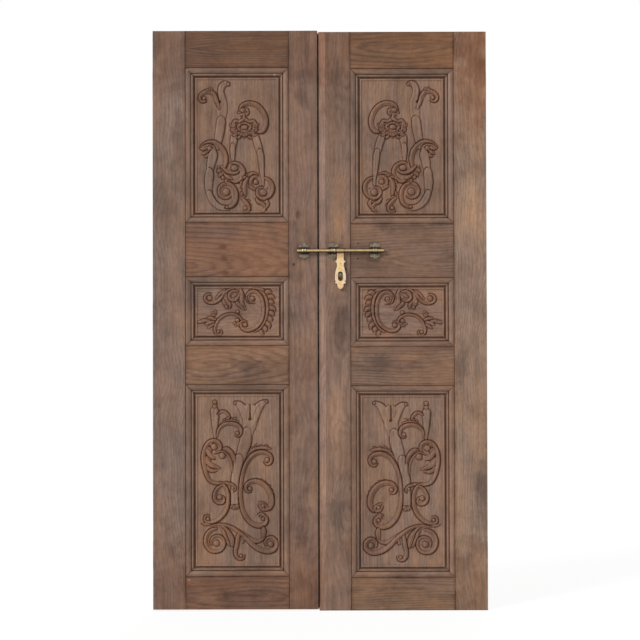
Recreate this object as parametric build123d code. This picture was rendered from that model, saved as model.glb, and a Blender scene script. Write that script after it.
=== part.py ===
from build123d import *
import os

# Carved double door: two framed leaves of hardwood, hung on butt hinges at the back of their outer
# edges, with a sliding brass bolt and its hasp on the front. Millimetres. +Z is up, +X is to the right
# as the door is seen from its carved side, and the carved side faces -Y. The origin is on the floor
# line, in the middle of the width and of the depth.

# Leaf
leaf_thickness = 40.0
hanging_stile_width = 120.0
panel_opening_width = 381.0
meeting_stile_width = 113.5
bottom_rail_height = 121.0
bottom_opening_height = 704.0
lower_rail_height = 143.0
middle_opening_height = 254.0
lock_rail_height = 200.0
top_opening_height = 572.0
top_rail_height = 136.0
left_leaf_lift = 5.0
meeting_line_offset = 5.0
meeting_gap = 0.3
meeting_bevel = 2.5
meeting_strip_width = 27.5
arris = 1.0

# Joinery
groove_width = 12.0
groove_depth = 10.0
groove_spare = 1.0
tenon_length = 70.0
tenon_shoulder = 22.0
mortise_spare = 1.0

# Panels, with depths measured from the leaf's front face
moulding_width = 30.0
moulding_gap = 5.5
field_front_depth = 8.0
field_border = 6.5
field_ground_depth = 10.0
field_bevel = 2.0

# Butt hinges
hinge_length = 100.0
hinge_end_distance = 150.0
middle_hinge_height = 1075.0
flap_thickness = 2.5
flap_width = 29.5
flap_spacing = 0.5
jamb_clearance = 1.5
barrel_radius = 5.0
barrel_clearance = 0.3
pin_radius = 2.5
pin_clearance = 0.05
pin_head_radius = 4.0
pin_head_height = 3.0
knuckles = 5
knuckle_gap = 0.3
gain_spare = 0.5
hinge_screw_radius = 2.4
hinge_screw_sink = 1.2
hinge_screw_rows = 14.0
hinge_screw_pitch = 66.0

# Sliding bolt
rod_radius = 6.5
rod_length = 320.0
rod_left_end = -83.8
rod_end_round = 1.2
plate_thickness = 2.0
eye_radius = 9.0
eye_clearance = 0.5
collar_width = 4.0
collar_arris = 0.8
side_play = 0.5
guide_bore_clearance = 0.5
guide_wall = 1.6
guide_bead = 1.6
guide_half_channel = 0.8
guide_seat_spare = 0.5
guide_length = 16.0
guide_plate_width = 41.0
guide_plate_height = 65.0
keeper_x = -56.6
middle_guide_x = 50.4
right_guide_x = 204.0

# Hasp and staple
hasp_thickness = 3.0
hasp_front_depth = 11.0
hasp_bore_clearance = 0.1
hasp_neck_width = 25.0
hasp_top = -8.5
hasp_slot_width = 18.0
hasp_slot_top = -77.0
hasp_slot_bottom = -112.0
hasp_rivet_radius = 1.6
hasp_rivet_height = -49.0
staple_drop = 90.5
staple_hole_radius = 4.2
staple_ring_wall = 4.0
staple_width = 6.0
staple_arris = 1.0
staple_neck = 8.0
staple_centre_depth = 16.5
staple_washer_radius = 8.0
staple_shank_radius = 3.5
staple_shank_length = 28.0
shank_clearance = 0.05

# Sizes that follow from the ones above
leaf_width = hanging_stile_width + panel_opening_width + meeting_stile_width
left_meeting_edge = meeting_line_offset + meeting_gap / 2
right_meeting_edge = -meeting_line_offset + meeting_gap / 2
outer_edge = leaf_width + meeting_gap / 2
rail_outer = outer_edge - hanging_stile_width
rail_inner = rail_outer - panel_opening_width
barrel_offset = barrel_radius + barrel_clearance
hinge_x = outer_edge + jamb_clearance - flap_thickness - flap_spacing / 2
gain_depth = 2 * flap_thickness + flap_spacing - jamb_clearance
rod_depth = plate_thickness + eye_clearance + eye_radius
staple_ring_radius = staple_hole_radius + staple_ring_wall
front_reach = staple_centre_depth + staple_ring_radius
back_reach = barrel_offset + barrel_radius
front_y = (front_reach - leaf_thickness - back_reach) / 2
back_y = front_y + leaf_thickness
hinge_y = back_y + barrel_offset
rod_y = front_y - rod_depth
collar_left = middle_guide_x + guide_length / 2 + side_play
hasp_x = collar_left + collar_width + side_play + hasp_neck_width / 2
groove_front = (leaf_thickness - groove_width) / 2
levels = [0.0]
for member in (
    bottom_rail_height,
    bottom_opening_height,
    lower_rail_height,
    middle_opening_height,
    lock_rail_height,
    top_opening_height,
    top_rail_height,
):
    levels.append(levels[-1] + member)
leaf_height = levels[-1]
rod_height = (levels[4] + levels[5]) / 2
rails = {
    "bottom_rail": (levels[0], levels[1]),
    "lower_rail": (levels[2], levels[3]),
    "lock_rail": (levels[4], levels[5]),
    "top_rail": (levels[6], levels[7]),
}
openings = {
    "bottom": (levels[1], levels[2]),
    "middle": (levels[3], levels[4]),
    "top": (levels[5], levels[6]),
}
hinge_heights = (
    hinge_end_distance + hinge_length / 2,
    middle_hinge_height,
    leaf_height - hinge_end_distance - hinge_length / 2,
)


# A box between two corners, with y measured as depth behind the leaf's front face
def block(x0, x1, depth0, depth1, z0, z1):
    size = (x1 - x0, depth1 - depth0, z1 - z0)
    corner = Pos(x0, front_y + depth0, z0)
    return corner * Box(*size, align=(Align.MIN, Align.MIN, Align.MIN))


# A cylinder between two ends along X or Z
def bar_x(radius, x0, x1, y, z):
    along = Rot(0, 90, 0) * Cylinder(radius, x1 - x0, align=(Align.CENTER, Align.CENTER, Align.MIN))
    return Pos(x0, y, z) * along


def bar_z(radius, x, y, z0, z1):
    return Pos(x, y, z0) * Cylinder(radius, z1 - z0, align=(Align.CENTER, Align.CENTER, Align.MIN))


# The front edges of a board, softened as a plane leaves them
def soften(board, width):
    edges = board.faces().sort_by(Axis.Y)[0].edges()
    return chamfer(edges, width)


# The groove that holds a panel's tongue, cut out of the boards around one opening
def panel_groove(z0, z1):
    x0 = rail_inner - groove_depth
    x1 = rail_outer + groove_depth
    return block(
        x0, x1, groove_front, groove_front + groove_width, z0 - groove_depth, z1 + groove_depth
    )


# The tenons of one rail, or the mortises for them when spare is added to their length
def tenons(z0, z1, spare):
    low = z0 + tenon_shoulder
    high = z1 - tenon_shoulder
    reach = tenon_length + spare
    back = groove_front + groove_width
    inner = block(rail_inner - reach, rail_inner, groove_front, back, low, high)
    outer = block(rail_outer, rail_outer + reach, groove_front, back, low, high)
    return inner, outer


# An upright with its grooves and mortises. The right leaf is drawn, and the left is its mirror image
def upright(board):
    for z0, z1 in openings.values():
        board -= panel_groove(z0, z1)
    for z0, z1 in rails.values():
        inner, outer = tenons(z0, z1, mortise_spare)
        board -= inner
        board -= outer
    return board


def hanging_stile():
    board = soften(block(rail_outer, outer_edge, 0, leaf_thickness, 0, leaf_height), arris)
    board = upright(board)
    for z in hinge_heights:
        low = z - hinge_length / 2 - gain_spare
        high = z + hinge_length / 2 + gain_spare
        front = leaf_thickness - flap_width - gain_spare
        board -= block(outer_edge - gain_depth, outer_edge + 1, front, leaf_thickness + 1, low, high)
    return board


# The bevelled meeting edge: at full width on the back face and set back by the bevel at the front
def meeting_edge_cut(edge):
    front = edge + meeting_bevel
    clear = edge - meeting_bevel
    outline = Polyline(
        (edge, back_y), (front, front_y), (clear, front_y), (clear, back_y), close=True
    )
    return extrude(make_face(outline), leaf_height, dir=(0, 0, 1))


def left_meeting_stile():
    board = block(left_meeting_edge, rail_inner, 0, leaf_thickness, 0, leaf_height)
    board -= meeting_edge_cut(left_meeting_edge)
    return upright(soften(board, arris))


def right_meeting_stile():
    x0 = right_meeting_edge + meeting_strip_width
    board = block(x0, rail_inner, 0, leaf_thickness, 0, leaf_height)
    return upright(soften(board, arris)) - shank_hole()


def meeting_strip():
    x1 = right_meeting_edge + meeting_strip_width
    board = block(right_meeting_edge, x1, 0, leaf_thickness, 0, leaf_height)
    board -= meeting_edge_cut(right_meeting_edge)
    return soften(board, arris)


def rail(z0, z1):
    board = soften(block(rail_inner, rail_outer, 0, leaf_thickness, z0, z1), arris)
    for low, high in openings.values():
        board -= panel_groove(low, high)
    for tenon in tenons(z0, z1, 0):
        board += tenon
    return board


# A raised panel: a tongue all round, a field with bevelled edges, and a sunk ground inside a border
def panel(z0, z1):
    reach = groove_depth - groove_spare
    tongue = block(
        rail_inner - reach,
        rail_outer + reach,
        groove_front,
        groove_front + groove_width,
        z0 - reach,
        z1 + reach,
    )
    edge = moulding_width + moulding_gap
    field = block(
        rail_inner + edge, rail_outer - edge, field_front_depth, groove_front, z0 + edge, z1 - edge
    )
    field = soften(field, field_bevel)
    edge += field_border
    sink = field_ground_depth - field_front_depth
    ground = block(
        rail_inner + edge,
        rail_outer - edge,
        field_front_depth,
        field_front_depth + sink,
        z0 + edge,
        z1 - edge,
    )
    return tongue + field - ground


# Profile of the planted moulding: u runs from the opening's edge inwards, and depth from the front face.
# A broad swell that falls inwards, a quirk, and a bead above the deep groove beside the panel
def moulding_face():
    outer = Line((0, groove_front), (0, 1.8))
    swell = ThreePointArc((0, 1.8), (9.5, 0.7), (19.0, 4.4))
    quirk_side = Line((19.0, 4.4), (19.8, 8.4))
    quirk = Line((19.8, 8.4), (21.4, 8.4))
    bead = ThreePointArc((21.4, 8.4), (25.2, 4.6), (29.0, 8.4))
    lip = Line((29.0, 8.4), (moulding_width, 8.4))
    inner = Line((moulding_width, 8.4), (moulding_width, groove_front))
    base = Line((moulding_width, groove_front), (0, groove_front))
    return make_face([outer, swell, quirk_side, quirk, bead, lip, inner, base])


# One mitred bar of moulding along the side of an opening that starts at `corner` and runs along `along`,
# with `inwards` the direction across the bar
def moulding_bar(corner, along, inwards, length):
    start = Plane(origin=(corner[0], front_y, corner[1]), x_dir=inwards, z_dir=along)
    if start.y_dir.Y < 0:
        start = Plane(origin=(corner[0], front_y, corner[1]), x_dir=inwards, z_dir=-along)
        bar = extrude(start * moulding_face(), -length)
    else:
        bar = extrude(start * moulding_face(), length)
    far = Vector(*along) * length
    across = Vector(*inwards) * moulding_width
    slant = Vector(*along) * moulding_width
    first = Vector(corner[0], front_y, corner[1])
    corners = [first, first + far, first + far - slant + across, first + slant + across]
    outline = make_face(Polyline(*corners, close=True))
    return bar & extrude(outline, groove_front + 1, dir=(0, 1, 0))


def mouldings(z0, z1):
    width = panel_opening_width
    height = z1 - z0
    right = Vector(1, 0, 0)
    up = Vector(0, 0, 1)
    return {
        "moulding_bottom": moulding_bar((rail_inner, z0), right, up, width),
        "moulding_top": moulding_bar((rail_inner, z1), right, -up, width),
        "moulding_inner": moulding_bar((rail_inner, z0), up, right, height),
        "moulding_outer": moulding_bar((rail_outer, z0), up, -right, height),
    }


# Knuckle spans along the barrel: even ones belong to the jamb flap and odd ones to the leaf flap
def knuckle_spans(z):
    step = hinge_length / knuckles
    for number in range(knuckles):
        low = z - hinge_length / 2 + number * step
        high = low + step
        if number > 0:
            low += knuckle_gap / 2
        if number < knuckles - 1:
            high -= knuckle_gap / 2
        yield number, low, high


# One flap with its knuckles. The jamb flap lies outside the pin's plane, and the leaf flap inside it
def flap(z, on_jamb):
    near = hinge_x + flap_spacing / 2 if on_jamb else hinge_x - flap_spacing / 2 - flap_thickness
    far = near + flap_thickness
    back = leaf_thickness + barrel_offset
    low = z - hinge_length / 2
    shape = block(near, far, leaf_thickness - flap_width, leaf_thickness, low, low + hinge_length)
    for number, z0, z1 in knuckle_spans(z):
        if (number % 2 == 0) == on_jamb:
            shape += block(near, far, leaf_thickness, back, z0, z1)
            shape += bar_z(barrel_radius, hinge_x, hinge_y, z0, z1)
    shape -= bar_z(pin_radius + pin_clearance, hinge_x, hinge_y, low - 1, low + hinge_length + 1)
    if on_jamb:
        shape -= screw_holes(z, near, far)
    return shape


# Four countersunk screw holes through a jamb flap, with their heads on the side away from the jamb
def screw_holes(z, near, far):
    middle = leaf_thickness - flap_width / 2
    holes = []
    for row in (-1, 1):
        for end in (-1, 1):
            y = front_y + middle + row * hinge_screw_rows / 2
            row_z = z + end * hinge_screw_pitch / 2
            holes.append(bar_x(hinge_screw_radius, near - 1, far + 1, y, row_z))
            sink = Rot(0, 90, 0) * Cone(
                hinge_screw_radius + hinge_screw_sink, hinge_screw_radius, hinge_screw_sink
            )
            holes.append(Pos(near + hinge_screw_sink / 2, y, row_z) * sink)
    return holes


# A hinge pin with a button at each end
def hinge_pin(z):
    low = z - hinge_length / 2
    high = z + hinge_length / 2
    pin = bar_z(pin_radius, hinge_x, hinge_y, low, high)
    for start in (low - pin_head_height, high):
        button = bar_z(pin_head_radius, hinge_x, hinge_y, start, start + pin_head_height)
        ends = button.edges().filter_by(GeomType.CIRCLE)
        pin += chamfer(ends.sort_by(Axis.Z)[0 if start < low else -1], pin_head_height / 3)
    return pin


# A cast plate of a given outline, with its front face at a depth before the leaf
def cast_plate(outline, x, z, front_depth, thickness=plate_thickness):
    plane = Plane(origin=(x, front_y - front_depth, z), x_dir=(1, 0, 0), z_dir=(0, -1, 0))
    return extrude(plane * outline, -thickness)


# The lobed back plate of a rod guide: a waisted rosette, pointed above and below
def rosette(x, z):
    half = guide_plate_width / 2
    tall = guide_plate_height / 2
    quarter = [
        ((0, tall), (half * 0.30, tall * 0.86), (half * 0.34, tall * 0.70)),
        ((half * 0.34, tall * 0.70), (half * 0.78, tall * 0.72), (half * 0.80, tall * 0.40)),
        ((half * 0.80, tall * 0.40), (half * 1.04, tall * 0.20), (half * 0.92, 0)),
    ]
    arcs = []
    for sx in (-1, 1):
        for sz in (-1, 1):
            for points in quarter:
                arcs.append(ThreePointArc(*[(sx * px, sz * pz) for px, pz in points]))
    return cast_plate(make_face(arcs), x, z, plate_thickness)


# The guide's loop over the rod, with two beads round it and a channel between them
def guide_loop(x, z):
    bore = rod_radius + guide_bore_clearance
    half = guide_length / 2
    shell = bore + guide_wall
    channel = guide_half_channel
    reach = bore + guide_seat_spare
    profile = make_face(
        [
            Line((-half, bore), (-half, shell)),
            ThreePointArc(
                (-half, shell), (-(half + channel) / 2, shell + guide_bead), (-channel, shell)
            ),
            Line((-channel, shell), (channel, shell)),
            ThreePointArc(
                (channel, shell), ((half + channel) / 2, shell + guide_bead), (half, shell)
            ),
            Line((half, shell), (half, bore)),
            Line((half, bore), (-half, bore)),
        ]
    )
    over = Plane(origin=(x, rod_y, z), x_dir=(1, 0, 0), z_dir=(0, -1, 0))
    under = Plane(origin=(x, rod_y, z), x_dir=(1, 0, 0), z_dir=(0, 1, 0))
    loop = revolve(over * profile, Axis((x, rod_y, z), (1, 0, 0)), 180)
    legs = extrude(over * profile, -(rod_depth - plate_thickness))
    legs += extrude(under * profile, rod_depth - plate_thickness)
    seat = block(
        x - half, x + half, -rod_depth + rod_radius, -plate_thickness, z - reach, z + reach
    )
    seat -= bar_x(bore, x - half - 1, x + half + 1, rod_y, z)
    return loop + legs + seat


def guide(x):
    return rosette(x, rod_height) + guide_loop(x, rod_height)


# The bolt rod, with the two collars that hold the hasp's eye between them
def bolt_rod():
    rod = bar_x(rod_radius, rod_left_end, rod_left_end + rod_length, rod_y, rod_height)
    rod = chamfer(rod.edges().filter_by(GeomType.CIRCLE), rod_end_round)
    for x in (collar_left, hasp_x + hasp_neck_width / 2 + side_play):
        ring = bar_x(eye_radius, x, x + collar_width, rod_y, rod_height)
        rod += chamfer(ring.edges().filter_by(GeomType.CIRCLE), collar_arris)
    return rod


# Half of the hasp's outline, from the neck down to the tip, as widths at heights below the rod.
# Each group of three is one arc, so the lugs keep their points
hasp_side = [
    ((hasp_neck_width / 2, hasp_top), (12.0, -20.0), (12.2, -31.0)),
    ((12.2, -31.0), (14.0, -36.0), (18.0, -38.5)),
    ((18.0, -38.5), (17.2, -42.5), (14.0, -43.5)),
    ((14.0, -43.5), (12.6, -54.0), (14.5, -64.0)),
    ((14.5, -64.0), (19.0, -84.0), (20.0, -104.0)),
    ((20.0, -104.0), (18.8, -110.0), (15.0, -113.5)),
    ((15.0, -113.5), (19.2, -116.5), (17.5, -121.0)),
    ((17.5, -121.0), (13.0, -121.5), (11.0, -125.0)),
    ((11.0, -125.0), (10.0, -133.0), (0.0, -141.5)),
]


def hasp():
    arcs = []
    for side in (-1, 1):
        for points in hasp_side:
            arcs.append(ThreePointArc(*[(side * px, pz) for px, pz in points]))
    arcs.append(Line((-hasp_neck_width / 2, hasp_top), (hasp_neck_width / 2, hasp_top)))
    plate = cast_plate(make_face(arcs), hasp_x, rod_height, hasp_front_depth, hasp_thickness)
    face = Plane(
        origin=(hasp_x, front_y - hasp_front_depth, rod_height), x_dir=(1, 0, 0), z_dir=(0, -1, 0)
    )
    slot_height = hasp_slot_top - hasp_slot_bottom
    slot_middle = (hasp_slot_top + hasp_slot_bottom) / 2
    slot = Pos(0, slot_middle) * SlotOverall(slot_height, hasp_slot_width, rotation=90)
    plate -= extrude(face * slot, hasp_thickness * 2, both=True)
    rivet = Pos(0, hasp_rivet_height) * Circle(hasp_rivet_radius)
    plate -= extrude(face * rivet, hasp_thickness * 2, both=True)
    x0 = hasp_x - hasp_neck_width / 2
    x1 = hasp_x + hasp_neck_width / 2
    eye = bar_x(eye_radius, x0, x1, rod_y, rod_height)
    eye -= bar_x(rod_radius + hasp_bore_clearance, x0 - 1, x1 + 1, rod_y, rod_height)
    return eye + plate


# The padlock staple: a ring on a neck, with a washer on the stile and a shank driven into it
def staple():
    x0 = hasp_x - staple_width / 2
    x1 = hasp_x + staple_width / 2
    z = rod_height - staple_drop
    centre = front_y - staple_centre_depth
    ring = bar_x(staple_ring_radius, x0, x1, centre, z)
    ring = chamfer(ring.edges().filter_by(GeomType.CIRCLE), staple_arris)
    half = staple_neck / 2
    ring += block(x0, x1, -staple_centre_depth + staple_hole_radius, 0, z - half, z + half)
    washer = Pos(hasp_x, front_y, z) * (
        Rot(90, 0, 0)
        * Cylinder(staple_washer_radius, plate_thickness, align=(Align.CENTER, Align.CENTER, Align.MIN))
    )
    shank = Pos(hasp_x, front_y, z) * (
        Rot(-90, 0, 0)
        * Cylinder(
            staple_shank_radius, staple_shank_length, align=(Align.CENTER, Align.CENTER, Align.MIN)
        )
    )
    whole = ring + washer + shank
    return whole - bar_x(staple_hole_radius, x0 - 1, x1 + 1, centre, z)


def shank_hole():
    drill = Rot(-90, 0, 0) * Cylinder(
        staple_shank_radius + shank_clearance,
        staple_shank_length + mortise_spare,
        align=(Align.CENTER, Align.CENTER, Align.MIN),
    )
    return Pos(hasp_x, front_y, rod_height - staple_drop) * drill


# The boards, panels and mouldings that both leaves have, drawn for the right leaf
def leaf_boards():
    pieces = {"hanging_stile": hanging_stile()}
    for name, (z0, z1) in rails.items():
        pieces[name] = rail(z0, z1)
    for name, (z0, z1) in openings.items():
        pieces[name + "_panel"] = panel(z0, z1)
        for bar, shape in mouldings(z0, z1).items():
            pieces[name + "_" + bar] = shape
    return pieces


def hinge_parts():
    return {
        "jamb_flaps": Compound(children=[flap(z, True) for z in hinge_heights]),
        "leaf_flaps": Compound(children=[flap(z, False) for z in hinge_heights]),
        "hinge_pins": Compound(children=[hinge_pin(z) for z in hinge_heights]),
    }


def all_parts():
    both = leaf_boards() | hinge_parts()
    parts = {}
    for name, shape in both.items():
        parts["right_" + name] = shape
        parts["left_" + name] = Pos(0, 0, left_leaf_lift) * mirror(shape, Plane.YZ)
    left_stile = mirror(left_meeting_stile(), Plane.YZ)
    parts["left_meeting_stile"] = Pos(0, 0, left_leaf_lift) * left_stile
    parts["right_meeting_stile"] = right_meeting_stile()
    parts["right_meeting_strip"] = meeting_strip()
    parts["left_keeper"] = guide(keeper_x)
    parts["right_inner_guide"] = guide(middle_guide_x)
    parts["right_outer_guide"] = guide(right_guide_x)
    parts["bolt_rod"] = bolt_rod()
    parts["hasp_plate"] = hasp()
    parts["padlock_staple"] = staple()
    return parts


os.makedirs("parts", exist_ok=True)
for node, shape in all_parts().items():
    export_step(shape, "parts/" + node + ".step")
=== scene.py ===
# %% [markdown]
# A pair of old carved hardwood doors with a brass bolt across the middle. The sized model is loaded
# first: it holds the real sizes, and nothing below moves it. Looks are added on top of it: carved faces,
# worn boards, dull and bright brass, and small fixings. All lengths here are millimetres unless a name
# says otherwise, and the carved side faces -Y.

import bpy
import bmesh
import math
import numpy as np
from mathutils import Matrix, Vector


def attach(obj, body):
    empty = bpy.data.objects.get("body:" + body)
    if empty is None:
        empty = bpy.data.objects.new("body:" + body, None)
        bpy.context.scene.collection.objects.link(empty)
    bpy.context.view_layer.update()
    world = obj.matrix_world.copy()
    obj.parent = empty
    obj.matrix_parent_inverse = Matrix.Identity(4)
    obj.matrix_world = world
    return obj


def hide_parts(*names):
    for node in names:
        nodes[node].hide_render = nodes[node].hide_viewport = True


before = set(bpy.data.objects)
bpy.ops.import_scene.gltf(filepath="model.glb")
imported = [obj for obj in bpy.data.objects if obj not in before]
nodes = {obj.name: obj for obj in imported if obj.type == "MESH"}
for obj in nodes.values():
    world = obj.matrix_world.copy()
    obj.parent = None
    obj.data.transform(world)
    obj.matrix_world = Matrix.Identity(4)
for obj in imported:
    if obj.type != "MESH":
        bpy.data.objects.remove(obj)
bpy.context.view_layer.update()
mm = 0.001
print("sized pieces:", len(nodes))

# %% [markdown]
# The photo was taken straight on from a few metres away, a touch below the middle of the door, so its
# top looks very slightly narrower. A long lens at five metres gives the same flat view.

# %% Camera
photo_scale = 3.68
photo_pixels = 640
camera_distance = 5.0
aim = Vector((0.0004, -0.0128, 1.067))
camera_rise = math.radians(-0.7)
camera_roll = math.radians(0.15)

camera_data = bpy.data.cameras.new("door_camera")
camera_data.sensor_width = 36.0
camera_data.lens = 36.0 * camera_distance / (photo_scale * photo_pixels * mm)
camera = bpy.data.objects.new("door_camera", camera_data)
bpy.context.scene.collection.objects.link(camera)
camera.location = aim + camera_distance * Vector((0, -math.cos(camera_rise), math.sin(camera_rise)))
camera.rotation_euler = (math.radians(90) - camera_rise, camera_roll, 0)
bpy.context.scene.camera = camera
print("lens:", round(camera_data.lens, 1), "mm")

# %% [markdown]
# Soft light shows carving without hard shadows. A studio's big lamp far off on the left lights the whole
# door evenly, so a sun with a wide disc stands in for it: every band gets a lit side and a dark side. A
# weak lamp on the right keeps the dark sides open, and the world adds the rest.

# %% Light
def soft_lamp(name, place, size, watts, tint=(1, 1, 1)):
    data = bpy.data.lights.new(name, "AREA")
    data.shape = "RECTANGLE"
    data.size, data.size_y = size
    data.energy = watts
    data.color = tint
    lamp = bpy.data.objects.new(name, data)
    lamp.location = place
    lamp.rotation_euler = (aim - Vector(place)).to_track_quat("-Z", "Y").to_euler()
    bpy.context.scene.collection.objects.link(lamp)
    return lamp


def far_lamp(name, side, front, rise, strength, disc):
    data = bpy.data.lights.new(name, "SUN")
    data.energy = strength
    data.angle = math.radians(disc)
    lamp = bpy.data.objects.new(name, data)
    lamp.rotation_euler = Vector((-side, front, -rise)).to_track_quat("-Z", "Y").to_euler()
    bpy.context.scene.collection.objects.link(lamp)
    return lamp


key = far_lamp("key_lamp", -3.0, 2.5, 2.3, 2.25, 18)
fill = soft_lamp("fill_lamp", (3.2, -3.6, 1.4), (2.2, 2.2), 12)
back = soft_lamp("back_lamp", (0.6, 3.4, 2.6), (2.4, 2.4), 50)
print("lamps:", [lamp.name for lamp in (key, fill, back)])

# %% Helpers for node materials
def new_material(name):
    material = bpy.data.materials.new(name)
    material.use_nodes = True
    tree = material.node_tree
    tree.nodes.clear()
    return material, tree


def node(tree, kind, links=None, values=None, **settings):
    """Adds a node, sets its options and socket values, and links sockets that come from other nodes."""
    made = tree.nodes.new("ShaderNode" + kind)
    for key_name, value in settings.items():
        setattr(made, key_name, value)
    for socket, value in (values or {}).items():
        made.inputs[socket].default_value = value
    for socket, source in (links or {}).items():
        tree.links.new(source, made.inputs[socket])
    return made


def colours(tree, source, stops):
    """A colour ramp: stops are (position, (r, g, b)) pairs."""
    ramp = node(tree, "ValToRGB", {"Fac": source})
    ramp.color_ramp.elements[0].position = stops[0][0]
    ramp.color_ramp.elements[0].color = (*stops[0][1], 1)
    ramp.color_ramp.elements[1].position = stops[-1][0]
    ramp.color_ramp.elements[1].color = (*stops[-1][1], 1)
    for position, colour in stops[1:-1]:
        ramp.color_ramp.elements.new(position).color = (*colour, 1)
    return ramp.outputs["Color"]


def mixed(tree, share, first, second, blend="MIX"):
    """Mixes two colours; share, first and second are sockets or values."""
    mix = tree.nodes.new("ShaderNodeMix")
    mix.data_type = "RGBA"
    mix.blend_type = blend
    for index, value in ((0, share), (6, first), (7, second)):
        if isinstance(value, bpy.types.NodeSocket):
            tree.links.new(value, mix.inputs[index])
        elif index == 0:
            mix.inputs[index].default_value = value
        else:
            mix.inputs[index].default_value = (*value, 1)
    return mix.outputs[2]


def maths(tree, operation, first, second=0.5, clamp=False):
    made = tree.nodes.new("ShaderNodeMath")
    made.operation = operation
    made.use_clamp = clamp
    for index, value in ((0, first), (1, second)):
        if isinstance(value, bpy.types.NodeSocket):
            tree.links.new(value, made.inputs[index])
        else:
            made.inputs[index].default_value = value
    return made.outputs[0]


print("node helpers ready")

# %% [markdown]
# The floor and backdrop are plain white, as in the photo. Their brightness comes from what the camera
# ray sees, not from more light, so the wood keeps its own tone, and a little of the real floor shader
# stays in so that the door still has its shadow.

# %% World and floor
world = bpy.data.worlds.new("studio")
bpy.context.scene.world = world
world.use_nodes = True
sky = world.node_tree
sky.nodes.clear()
rays = node(sky, "LightPath")
seen = maths(sky, "ADD", rays.outputs["Is Camera Ray"], rays.outputs["Is Glossy Ray"], clamp=True)
seen = maths(sky, "ADD", seen, rays.outputs["Is Transmission Ray"], clamp=True)
soft_white = node(sky, "Background", values={"Color": (1, 1, 1, 1), "Strength": 0.33})
plain_white = node(sky, "Background", values={"Color": (1, 1, 1, 1), "Strength": 1.0})
blend = node(sky, "MixShader", {0: seen, 1: soft_white.outputs[0], 2: plain_white.outputs[0]})
node(sky, "OutputWorld", {"Surface": blend.outputs[0]})

floor_material, tree = new_material("pale_floor")
rays = node(tree, "LightPath")
grain = node(tree, "TexNoise", values={"Scale": 40.0, "Detail": 3.0})
tint = colours(tree, grain.outputs["Fac"], [(0.3, (0.86, 0.86, 0.86)), (0.7, (0.9, 0.9, 0.9))])
matt = node(tree, "BsdfPrincipled", {"Base Color": tint}, {"Roughness": 0.8})
white = node(tree, "Emission", values={"Color": (1, 1, 1, 1), "Strength": 1.1})
share = maths(tree, "MULTIPLY", rays.outputs["Is Camera Ray"], 0.78)
blend = node(tree, "MixShader", {0: share, 1: matt.outputs[0], 2: white.outputs[0]})
node(tree, "OutputMaterial", {"Surface": blend.outputs[0]})

floor_mesh = bpy.data.meshes.new("floor")
reach = 12.0
floor_mesh.from_pydata([(-reach, -reach, 0), (reach, -reach, 0), (reach, reach, 0), (-reach, reach, 0)], [], [(0, 1, 2, 3)])
floor = bpy.data.objects.new("floor", floor_mesh)
bpy.context.scene.collection.objects.link(floor)
floor.data.materials.append(floor_material)
print("floor:", 2 * reach, "m square")

# %% [markdown]
# The wood is old teak, dry and brown, greyed by dust and handling, and still orange where it is rubbed.
# Each board was sawn from its own log, and its rings are tubes round the log's heart. Where the heart
# lies beside the board they show as long stripes, and where it lies behind the face and wanders they
# close into pointed arches and eyes. So the recipe takes where the heart is, board by board, which gives
# the real figure where a plain stripe or cloud pattern would only suggest it.

# %% Wood recipe
opening_sides = (113.5, 494.5)
opening_levels = (121.0, 825.0, 968.0, 1222.0, 1422.0, 1994.0)
left_lift = 5.0
meeting_line = -5.0
grey_of_dust = (0.96, 0.99, 1.03)
orange_of_teak = (1.07, 1.0, 0.89)


def tinted(tone, tint, share=1.0):
    return tuple(share * part * shift for part, shift in zip(tone, tint))


def nearest(tree, coordinate, places):
    """Distance in metres from a coordinate to the nearest of some places in millimetres."""
    far = None
    for place in places:
        one = maths(tree, "ABSOLUTE", maths(tree, "SUBTRACT", coordinate, place * mm))
        far = one if far is None else maths(tree, "MINIMUM", far, one)
    return far


def joint_distance(tree, place, joints):
    """How far a point is from the dirty joint lines. joints names them: shoulders are the upright lines where
    rails meet stiles, edges the level lines above and below each opening, mitres the mouldings' corners, and
    meeting the line where the leaves meet."""
    parts = node(tree, "SeparateXYZ", {0: place})
    x = maths(tree, "ABSOLUTE", parts.outputs["X"], 0)
    on_left = maths(tree, "LESS_THAN", parts.outputs["X"], 0.0)
    z = maths(tree, "SUBTRACT", parts.outputs["Z"], maths(tree, "MULTIPLY", on_left, left_lift * mm))
    beside = nearest(tree, x, opening_sides)
    above = nearest(tree, z, opening_levels)
    meeting = maths(tree, "SUBTRACT", nearest(tree, parts.outputs["X"], [meeting_line]), 1.2 * mm)
    lines = {"meeting": meeting, "shoulders": beside, "edges": above, "mitres": maths(tree, "ABSOLUTE", maths(tree, "SUBTRACT", beside, above), 0)}
    far = None
    for name in joints:
        far = lines[name] if far is None else maths(tree, "MINIMUM", far, lines[name])
    return far


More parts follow.
